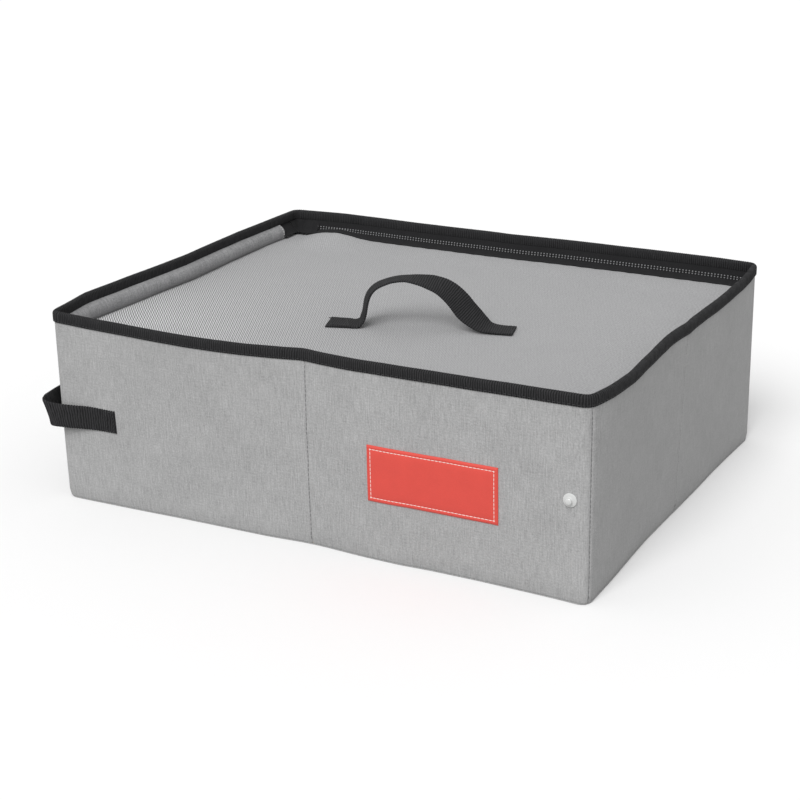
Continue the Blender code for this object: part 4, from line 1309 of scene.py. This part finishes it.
def make_tape_ends():
    """The gathered ends of the zip tape in the two left corners."""
    heights = np.linspace(*GATHER_HEIGHTS, GATHER_ROWS)
    base = np.interp(heights / MM, *np.array(TAPE_END_INSETS).T) * MM
    loose = smooth(smooth(heights, heights[-1], heights[0]), 0, GATHER_LOOSE)
    along = steps(-LEG_END, TAPE_END, LINE_STEP)
    fade = smooth(along, -STRAIGHT - GATHER_IN, -STRAIGHT)
    fade = fade * (1 - smooth(along, TAPE_END - GATHER_OUT, TAPE_END))
    folds = sum(np.sin(along / (run * MM) + phase) * depth * MM for depth, run, phase in TAPE_FOLDS)
    insets = [base + (fold + GATHER_OFF) * place * loose for fold, place in zip(folds, fade)]
    rings = np.array([thickened(np.column_stack((inset, heights)), GATHERED_THICK) for inset in insets])
    for wall in ("back", "front"):
        piece = swept("zip_tape_end_" + wall, wall, along, rings, "tape")
        declare(piece, body=wall + "_wall")
    line = curved(CORNER_TAPE, LINE_STEP)[0]
    along = steps(CORNER_Y - STRIP_SHORT - 2 * MM, CORNER_Y, 1 * MM)
    piece = swept("zip_tape_corner", "left", along, thickened(line, TAPE_THICK), "tape")
    carry(declare(piece), "left_rear")


# The handle's centre line in the upright plane through its ends, in millimetres
HANDLE_LINE = (
    (-65, 0), (-58, 0.1), (-51, 0.1), (-46.2, -0.1), (-42.7, 1.2), (-40.4, 4.6), (-39, 8.5), (-37.4, 16.5),
    (-34.6, 22.5), (-30, 27.2), (-23.5, 30.5), (-16.5, 32.7), (-8, 33.7), (0.6, 33.1), (8, 31.7), (15.6, 29),
    (22, 24.7), (27.3, 19.4), (32.2, 13.3), (37.4, 8.4), (42.5, 4.4), (47.5, 1.6), (53, 0.5), (59, 0.1),
    (65.5, 0),
)
# How far the webbing is turned about the upright and tilted, in degrees, at places on that line
HANDLE_TURNS = (
    (-65, 19), (-46, 17), (-40, 20), (-37, 20), (-30, 14), (-17, 3.5), (-8, -3), (8, -17), (22, -29),
    (30, -35), (35, -34), (43, -24), (53, -6), (65.5, 11),
)
HANDLE_TILTS = (
    (-65, 3), (-58, 1), (-46, 0.6), (-39, -4), (-24, -2.5), (-8, -2), (2, 5), (8, 9.5), (27, 14), (32, 16),
    (40, 9), (47, 0.5), (65.5, 0),
)
TAB_ENDS = (51.5 * MM, 63.5 * MM)
HANDLE_WIDTH = 19 * MM
HANDLE_STEP = 0.5 * MM
# How far the webbing lies over the tabs' foot, and how far its stitches stand over the webbing
HANDLE_LIFT = 0.5 * MM
HANDLE_STITCH = 0.62 * MM
# Share of a webbing's width from its middle to its rows of stitches
STITCHED_SHARE = 0.42


def sewn_box(corner, down, aside):
    """The four lines of a sewn rectangle, from one corner."""
    far = corner + aside
    return [[corner, corner + down], [far, far + down], [corner, far], [corner + down, far + down]]


def make_handle():
    """The webbing handle: flat sewn ends and an arch that twists towards the right."""
    pivot = PIVOT["handle_swing"]
    axis = next(joint["axis"] for joint in frame["joints"] if joint["name"] == "handle_swing")
    along = np.array(Vector(axis).normalized())
    across = np.array((-along[1], along[0], 0))
    up = np.array((0, 0, 1))
    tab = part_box("handle_tab_left")[0].z
    line, lengths = curved(HANDLE_LINE, HANDLE_STEP)
    centres = np.array((pivot.x, pivot.y, tab + WEBBING_THICK / 2 + HANDLE_LIFT)) + line[:, :1] * along
    centres[:, 2] += line[:, 1]
    turn, tilt = [
        np.radians(np.interp(line[:, 0] / MM, *np.array(table).T))[:, None]
        for table in (HANDLE_TURNS, HANDLE_TILTS)
    ]
    wide = (np.cos(turn) * across - np.sin(turn) * along) * np.cos(tilt) + np.sin(tilt) * up
    piece = ribbed(ribbon("handle_webbing", centres, wide, lengths, HANDLE_WIDTH, "webbing"), "webbing")
    declare(piece, ("lid_handle", "handle_tab_left", "handle_tab_right"))
    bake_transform(piece)
    rows = []
    for sign, (place, degrees) in ((-1, HANDLE_TURNS[0]), (1, HANDLE_TURNS[-1])):
        turn = math.radians(degrees)
        aside = (math.cos(turn) * across - math.sin(turn) * along) * HANDLE_WIDTH * STITCHED_SHARE
        near, far = [np.array(pivot) + sign * reach * along for reach in TAB_ENDS]
        near[2] = far[2] = tab + WEBBING_THICK + HANDLE_STITCH
        rows += sewn_box(near - aside, 2 * aside, far - near)
    stitches = sewn("handle_stitches", rows, "webbing", "black_thread", *STITCHES["handle"])
    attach(stitches, "lid_front")


# The strap's upper and lower edge in plan, in millimetres from the left wall's face and the front's
STRAP_UPPER = (
    (51.5, -0.95), (44, -0.95), (36, -1.1), (28, -1.5), (20, -3.0), (11, -4.6), (3, -5.1), (-4.5, -4.5),
    (-10.9, -1.2), (-14.8, 5.4),
)
STRAP_LOWER = (
    (51.5, -0.95), (44, -0.95), (36.5, -1.1), (29, -2.0), (21.5, -3.8), (14, -5.6), (7.4, -6.5), (4.0, -6.8),
    (1.4, -6.7), (-0.8, -6.0),
)
TAIL_UPPER = (
    (-14.8, 5.4), (-15.7, 8), (-16.6, 14), (-17.6, 20), (-18.3, 27), (-18.4, 34), (-16, 44), (-9.5, 52),
    (-5.2, 57), (-4.5, 62), (-4.5, 66), (-4.5, 68.9),
)
TAIL_LOWER = (
    (-0.8, -6.0), (-2.2, -4.0), (-5.4, 2.4), (-10.4, 13), (-15.6, 22), (-18.0, 30), (-17, 41), (-10.6, 50),
    (-5.4, 56), (-4.5, 62), (-4.5, 66), (-4.5, 68.9),
)


STRAP_SEWN_FROM = 1.6 * MM
STRAP_SEWN_RUN = 5.8 * MM
STRAP_STITCH = 0.3 * MM


def strap_ribbon(name, upper, lower):
    """The strap's webbing between an upper and a lower edge that are given in plan."""
    ends = []
    for table, height in ((lower, PATCH_LOW.z), (upper, PATCH_HIGH.z)):
        plan = spline(table) + np.array((-SIDE, -REACH))
        ends.append(np.column_stack((plan, np.full(len(plan), height))))
    centres = (ends[0] + ends[1]) / 2
    width = PATCH_HIGH.z - PATCH_LOW.z
    piece = ribbon(name, centres, ends[1] - ends[0], lengths_along(centres), width, "strap", True)
    return ribbed(piece, "strap", STRAP_RIB, STRAP_RIB_DEPTH)


def make_strap():
    """The closure strap: its sewn patch with the run to the bend, and its tail behind."""
    centre = (PATCH_LOW + PATCH_HIGH) / 2
    face, middle = centre.y, centre.z
    run = strap_ribbon("strap_webbing", STRAP_UPPER, STRAP_LOWER)
    declare(run, ("strap_patch", "strap_run"))
    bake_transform(run)
    tail = strap_ribbon("strap_tail_webbing", TAIL_UPPER, TAIL_LOWER)
    declare(tail, ("strap_tail",))
    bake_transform(tail)
    half = (PATCH_HIGH.z - PATCH_LOW.z) * STITCHED_SHARE
    front = face - WEBBING_THICK / 2 - STRAP_STITCH
    corner = np.array((PATCH_HIGH.x - STRAP_SEWN_FROM, front, middle + half))
    rows = sewn_box(corner, np.array((0, 0, -2 * half)), np.array((-STRAP_SEWN_RUN, 0, 0)))
    stitches = sewn("strap_stitches", rows, "webbing", "black_thread", *STITCHES["strap"])
    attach(stitches, "front_wall")


STUD_OUT = 0.3 * MM
# Radii and heights of the snap's round pieces, in millimetres
SNAP_PROFILES = {
    "stud": (
        (0.2, -0.3), (4.4, -0.3), (4.55, 0.1), (4.4, 0.5), (3.9, 0.75), (3.0, 0.8), (2.4, 0.95), (1.75, 1.3),
        (1.6, 1.9), (1.8, 2.4), (2.15, 2.8), (2.1, 3.2), (1.75, 3.5), (1.1, 3.65), (0.2, 3.7),
    ),
    "stud_cap": ((0.2, 0.0), (3.9, 0.0), (4.1, 0.25), (3.8, 0.6), (2.6, 0.95), (0.2, 1.1)),
    "socket": (
        (0.2, 0.0), (5.0, 0.0), (5.2, 0.3), (5.1, 0.7), (4.6, 1.0), (3.9, 1.1), (3.6, 1.5), (3.0, 1.6),
        (2.4, 1.5), (2.2, 1.1), (2.2, 0.5), (0.2, 0.5),
    ),
    "socket_cap": ((0.2, 0.0), (4.9, 0.0), (5.15, 0.25), (4.9, 0.6), (3.4, 0.95), (0.2, 1.1)),
}


def make_snap():
    """The stud on the front wall with its cap, and the socket with its cap on the strap's tail."""
    boxes = {name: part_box("snap_" + name) for name in SNAP_PROFILES}
    stud, socket = [(boxes[name][0] + boxes[name][1]) / 2 for name in ("stud", "socket")]
    faces = [(stud.x, -REACH, stud.z), (stud.x, boxes["stud_cap"][0].y, stud.z)]
    outside, inside = settle(np.array(faces))
    places = {
        "stud": (outside - np.array((0, STUD_OUT, 0)), (0, -1, 0), "front_wall"),
        "stud_cap": (inside, (0, 1, 0), "front_wall"),
        "socket": ((boxes["socket"][0].x, socket.y, socket.z), (1, 0, 0), "strap_end"),
        "socket_cap": ((boxes["socket_cap"][1].x, socket.y, socket.z), (-1, 0, 0), "strap_end"),
    }
    for name, (place, direction, body) in places.items():
        piece = turned(name, SNAP_PROFILES[name], place, direction, "snap")
        declare(piece, ("snap_" + name,), body)


LABEL_INSET = 2.6 * MM
LABEL_EDGES = np.array((0, 0.3, 0.8, 1.6, 2.2, 2.6, 3.0, 3.6)) * MM
LABEL_REAR = 0.1 * MM
LABEL_FRONT = 0.15 * MM
LABEL_STITCH = 0.85 * MM


def label_places(low, high, margin, size):
    """Places across the label, more of them near its edges."""
    middle = steps(low + margin, high - margin, size)
    return np.concatenate((low + LABEL_EDGES, middle, high - LABEL_EDGES[::-1]))


def label_height(edge):
    """How far the label stands out at a distance from its edge: rounded, drawn in by its stitches."""
    height = 0.35 * MM + 0.65 * MM * smooth(edge, 0, 1.0 * MM)
    height -= 0.35 * MM * np.exp(-((edge - LABEL_INSET) / (0.45 * MM)) ** 2)
    return height + 0.15 * MM * smooth(edge, 3 * MM, 12 * MM)


def make_label():
    """The bare label with its stitched border."""
    low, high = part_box("label")
    xs = label_places(low.x, high.x, 8 * MM, 5 * MM)
    zs = label_places(low.z, high.z, 7 * MM, 4 * MM)
    x, z = flat_grid(xs, zs)
    edge = np.minimum(np.minimum(x - low.x, high.x - x), np.minimum(z - low.z, high.z - z))
    front = np.column_stack((x, -REACH - LABEL_FRONT - label_height(edge), z))
    rear = np.column_stack((x, np.full_like(x, -REACH - LABEL_REAR), z))
    points = settle(np.vstack((front, rear)))
    piece = solid_piece("label_patch", points, grid_faces(len(xs), len(zs)), "label")
    declare(piece, ("label",), "front_wall")
    left, right = low.x + LABEL_INSET, high.x - LABEL_INSET
    foot, head = low.z + LABEL_INSET, high.z - LABEL_INSET
    corners = np.array(((left, foot), (right, foot), (right, head), (left, head), (left, foot)))
    share = np.linspace(0, 1, 24)[:, None]
    lines = []
    for start, end in zip(corners[:-1], corners[1:]):
        x, z = (start * (1 - share) + end * share).T
        lines.append(settle(np.column_stack((x, np.full_like(x, -REACH - LABEL_STITCH), z))))
    stitches = sewn("label_stitches", lines, "label", "label_thread", *STITCHES["label"])
    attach(stitches, "front_wall")


# The slider's pieces: their CAD nodes and the bevel of their edges
SLIDER_PIECES = {"slider": ("zip_slider", 0.2 * MM), "slider_pull": ("zip_pull", 0.1 * MM)}


def make_slider():
    """The zip's slider with its pull, parked at the front left."""
    for name, (node, bevel) in SLIDER_PIECES.items():
        mesh = frame["nodes"][node].data.copy()
        solid = bmesh.new()
        solid.from_mesh(mesh)
        bmesh.ops.remove_doubles(solid, verts=solid.verts, dist=0.01 * MM)
        edges = [edge for edge in solid.edges if edge.calc_face_angle(0) > SLIDER_TURN]
        bmesh.ops.bevel(solid, geom=edges, offset=bevel, segments=2, affect="EDGES")
        solid.to_mesh(mesh)
        solid.free()
        smooth_mesh(mesh, ROUND_SHARP)
        mesh.name = name
        declare(new_object(name, mesh, "metal"), (node,), node)


# A stitch's share of its spacing, and the depth of the seams' stitches as a share of the groove
STITCH_SHARE = 0.75
FINE_STITCH_SHARE = 0.7
FINE_THREAD = 0.8
SEAM_STITCH_DEPTH = 0.6
FINE_STITCH_DEPTH = 0.5
MID_STITCH_OFF = 0.7 * MM
RIM_STITCH_INSET = BINDING_OUTER - 0.05 * MM
RIM_STITCH_HEIGHT = RIM - 6.4 * MM


def make_stitching():
    """Rows of stitches: down the walls' seams and along the rim webbing's lower edge."""
    spacing = sizes().stitch_spacing
    radius = sizes().thread_radius
    heights = steps(FOOT + 4 * MM, WALL_TOP - 11 * MM, 3 * MM)
    for part, (wall, low, high, body) in PARTS.items():
        if part == wall:
            places, inset = sorted(SEAMS[wall]), SEAM_GROOVE * SEAM_STITCH_DEPTH
            # These stitches' dark grey is thread colour with painted shade of the seam
            stitch = ("seam_shadow", spacing, spacing * STITCH_SHARE, radius)
        else:
            places = (math.copysign(MID_STITCH_OFF, low + high),)
            inset = SEAM_GROOVE * FINE_STITCH_DEPTH
            stitch = ("grey_thread", spacing, spacing * FINE_STITCH_SHARE, radius * FINE_THREAD)
        lines = [wall_line(wall, np.full(len(heights), place), inset, heights) for place in places]
        carry(sewn("seam_stitches_" + part, lines, "cover_cloth", *stitch), part)
        line = wall_line(wall, steps(low, high, 3 * MM), RIM_STITCH_INSET, RIM_STITCH_HEIGHT)
        stitch = ("black_thread", spacing, spacing * STITCH_SHARE, radius)
        carry(sewn("rim_stitches_" + part, [line], "webbing", *stitch), part)


# The camera that the photograph was taken with, in the part's frame
CAMERA_AZIMUTH = 0.5047
CAMERA_ELEVATION = 0.3431
CAMERA_DISTANCE = 1197.8 * MM
CAMERA_TARGET = (20.96 * MM, -62.27 * MM, 74.70 * MM)
CAMERA_ROLL = -0.0241
CAMERA_FOCAL_PX = 1753.9
# Side of the photograph in pixels
PX = 800
SENSOR = 36.0


def make_camera():
    """The camera at the photograph's viewing angle."""
    plan = math.cos(CAMERA_ELEVATION)
    back = Vector(
        (math.sin(CAMERA_AZIMUTH) * plan, -math.cos(CAMERA_AZIMUTH) * plan, math.sin(CAMERA_ELEVATION))
    )
    right = Vector((0, 0, 1)).cross(back).normalized()
    up = back.cross(right)
    turned_right = right * math.cos(CAMERA_ROLL) + up * math.sin(CAMERA_ROLL)
    turned_up = up * math.cos(CAMERA_ROLL) - right * math.sin(CAMERA_ROLL)
    data = bpy.data.cameras.new("camera")
    data.sensor_width = SENSOR
    data.lens = CAMERA_FOCAL_PX / PX * SENSOR
    data.clip_start = 0.05
    data.clip_end = 50
    camera = bpy.data.objects.new("camera", data)
    place = Matrix.Translation(Vector(CAMERA_TARGET) + back * CAMERA_DISTANCE)
    camera.matrix_world = place @ Matrix((turned_right, turned_up, back)).transposed().to_4x4()
    bpy.context.scene.collection.objects.link(camera)
    bpy.context.scene.camera = camera


SUN_STRENGTH = 2.1
SUN_FROM = (0.05, -0.44, 0.46)
SUN_ANGLE = 35
SKY_LEVEL = 0.62
FLOOR_SIZE = 12.0
FLOOR_SEEN = 0.93
FLOOR_LIT = 0.45


def seen_mix(tree, lit, seen):
    """One level for the rays that light the object, another for what the camera and gloss see."""
    path = add_node(tree, "ShaderNodeLightPath")
    looks = calc(tree, "MAXIMUM", path.outputs["Is Camera Ray"], path.outputs["Is Glossy Ray"])
    looks = calc(tree, "MAXIMUM", looks, path.outputs["Is Transmission Ray"])
    return calc(tree, "MULTIPLY_ADD", looks, seen - lit, lit)


def make_stage():
    """A plain white floor, a plain sky and one soft lamp."""
    scene = bpy.context.scene
    scene.view_settings.view_transform = "Standard"
    world = bpy.data.worlds.new("sky")
    world.use_nodes = True
    scene.world = world
    tree = world.node_tree
    background = tree.nodes["Background"]
    background.inputs["Color"].default_value = (1, 1, 1, 1)
    tree.links.new(seen_mix(tree, SKY_LEVEL, 1.0), background.inputs["Strength"])
    lamp = bpy.data.lights.new("soft_lamp", "SUN")
    lamp.energy = SUN_STRENGTH
    lamp.angle = math.radians(SUN_ANGLE)
    sun = bpy.data.objects.new("soft_lamp", lamp)
    sun.rotation_mode = "QUATERNION"
    sun.rotation_quaternion = Vector(SUN_FROM).to_track_quat("Z", "Y")
    scene.collection.objects.link(sun)
    material, tree, shader = principled("white_floor", 1.0, Specular_IOR_Level=0.0)
    MATERIALS["floor"] = material
    level = seen_mix(tree, FLOOR_LIT, FLOOR_SEEN)
    grey = add_node(tree, "ShaderNodeCombineColor", {0: level, 1: level, 2: level})
    tree.links.new(grey.outputs[0], shader.inputs["Base Color"])
    half = FLOOR_SIZE / 2
    mesh = bpy.data.meshes.new("floor")
    corners = [(-half, -half, 0), (half, -half, 0), (half, half, 0), (-half, half, 0)]
    mesh.from_pydata(corners, [], [(0, 1, 2, 3)])
    new_object("floor", mesh, "floor")
    make_camera()


class LITTERBOX_OT_finishes(bpy.types.Operator):
    """Make the materials and the Geometry Nodes trees"""

    bl_idname = "litter_box.finishes"
    bl_label = "Finishes"

    def execute(self, context):
        make_materials()
        return {"FINISHED"}


class LITTERBOX_OT_stage(bpy.types.Operator):
    """Make the floor, the sky, the lamp and the camera"""

    bl_idname = "litter_box.stage"
    bl_label = "Stage"

    def execute(self, context):
        make_stage()
        return {"FINISHED"}


class LITTERBOX_OT_walls(bpy.types.Operator):
    """Make the walls' cloth, boards and linings, and the base cloth"""

    bl_idname = "litter_box.walls"
    bl_label = "Walls and base"

    def execute(self, context):
        make_covers()
        make_boards()
        make_linings()
        make_base()
        return {"FINISHED"}


class LITTERBOX_OT_rim(bpy.types.Operator):
    """Make the webbing that binds the rim"""

    bl_idname = "litter_box.rim"
    bl_label = "Rim"

    def execute(self, context):
        make_bindings()
        return {"FINISHED"}


class LITTERBOX_OT_lid(bpy.types.Operator):
    """Make the lid's cloth, lining and hinge strip"""

    bl_idname = "litter_box.lid"
    bl_label = "Lid"

    def execute(self, context):
        make_lid()
        make_hinge_strip()
        return {"FINISHED"}


class LITTERBOX_OT_zipper(bpy.types.Operator):
    """Make the zipper's tapes, coil, slider and pull"""

    bl_idname = "litter_box.zipper"
    bl_label = "Zipper"

    def execute(self, context):
        make_zipper()
        make_tape_ends()
        make_slider()
        return {"FINISHED"}


class LITTERBOX_OT_handle(bpy.types.Operator):
    """Make the webbing handle on the lid"""

    bl_idname = "litter_box.handle"
    bl_label = "Handle"

    def execute(self, context):
        make_handle()
        return {"FINISHED"}


class LITTERBOX_OT_closure(bpy.types.Operator):
    """Make the closure strap and the snap"""

    bl_idname = "litter_box.closure"
    bl_label = "Strap and snap"

    def execute(self, context):
        make_strap()
        make_snap()
        return {"FINISHED"}


class LITTERBOX_OT_label(bpy.types.Operator):
    """Make the bare label with its stitched border"""

    bl_idname = "litter_box.label"
    bl_label = "Label"

    def execute(self, context):
        make_label()
        return {"FINISHED"}


class LITTERBOX_OT_stitching(bpy.types.Operator):
    """Make the rows of stitches on the walls and the rim"""

    bl_idname = "litter_box.stitching"
    bl_label = "Stitching"

    def execute(self, context):
        make_stitching()
        return {"FINISHED"}


OPERATORS = (
    LITTERBOX_OT_finishes,
    LITTERBOX_OT_stage,
    LITTERBOX_OT_walls,
    LITTERBOX_OT_rim,
    LITTERBOX_OT_lid,
    LITTERBOX_OT_zipper,
    LITTERBOX_OT_handle,
    LITTERBOX_OT_closure,
    LITTERBOX_OT_label,
    LITTERBOX_OT_stitching,
)


class LITTERBOX_PT_panel(bpy.types.Panel):
    """The pieces of the litter box, in the order in which they are made"""

    bl_idname = "LITTERBOX_PT_panel"
    bl_label = "Litter Box"
    bl_space_type = "VIEW_3D"
    bl_region_type = "UI"
    bl_category = "Litter Box"

    def draw(self, context):
        for group in (context.scene.litter_box_sizes, context.scene.litter_box_colours):
            for name in group.__annotations__:
                self.layout.prop(group, name)
        for operator in OPERATORS:
            self.layout.operator(operator.bl_idname)


CLASSES = (LitterBoxSizes, LitterBoxColours, *OPERATORS, LITTERBOX_PT_panel)


def register():
    """Register the classes and the scene's settings."""
    for item in CLASSES:
        bpy.utils.register_class(item)
    bpy.types.Scene.litter_box_sizes = PointerProperty(type=LitterBoxSizes)
    bpy.types.Scene.litter_box_colours = PointerProperty(type=LitterBoxColours)


def unregister():
    """Undo register."""
    del bpy.types.Scene.litter_box_colours
    del bpy.types.Scene.litter_box_sizes
    for item in reversed(CLASSES):
        bpy.utils.unregister_class(item)


def main():
    register()
    bpy.ops.litter_box.finishes()
    bpy.ops.litter_box.stage()
    bpy.ops.litter_box.walls()
    bpy.ops.litter_box.rim()
    bpy.ops.litter_box.lid()
    bpy.ops.litter_box.zipper()
    bpy.ops.litter_box.handle()
    bpy.ops.litter_box.closure()
    bpy.ops.litter_box.label()
    bpy.ops.litter_box.stitching()


if __name__ == "__main__":
    main()
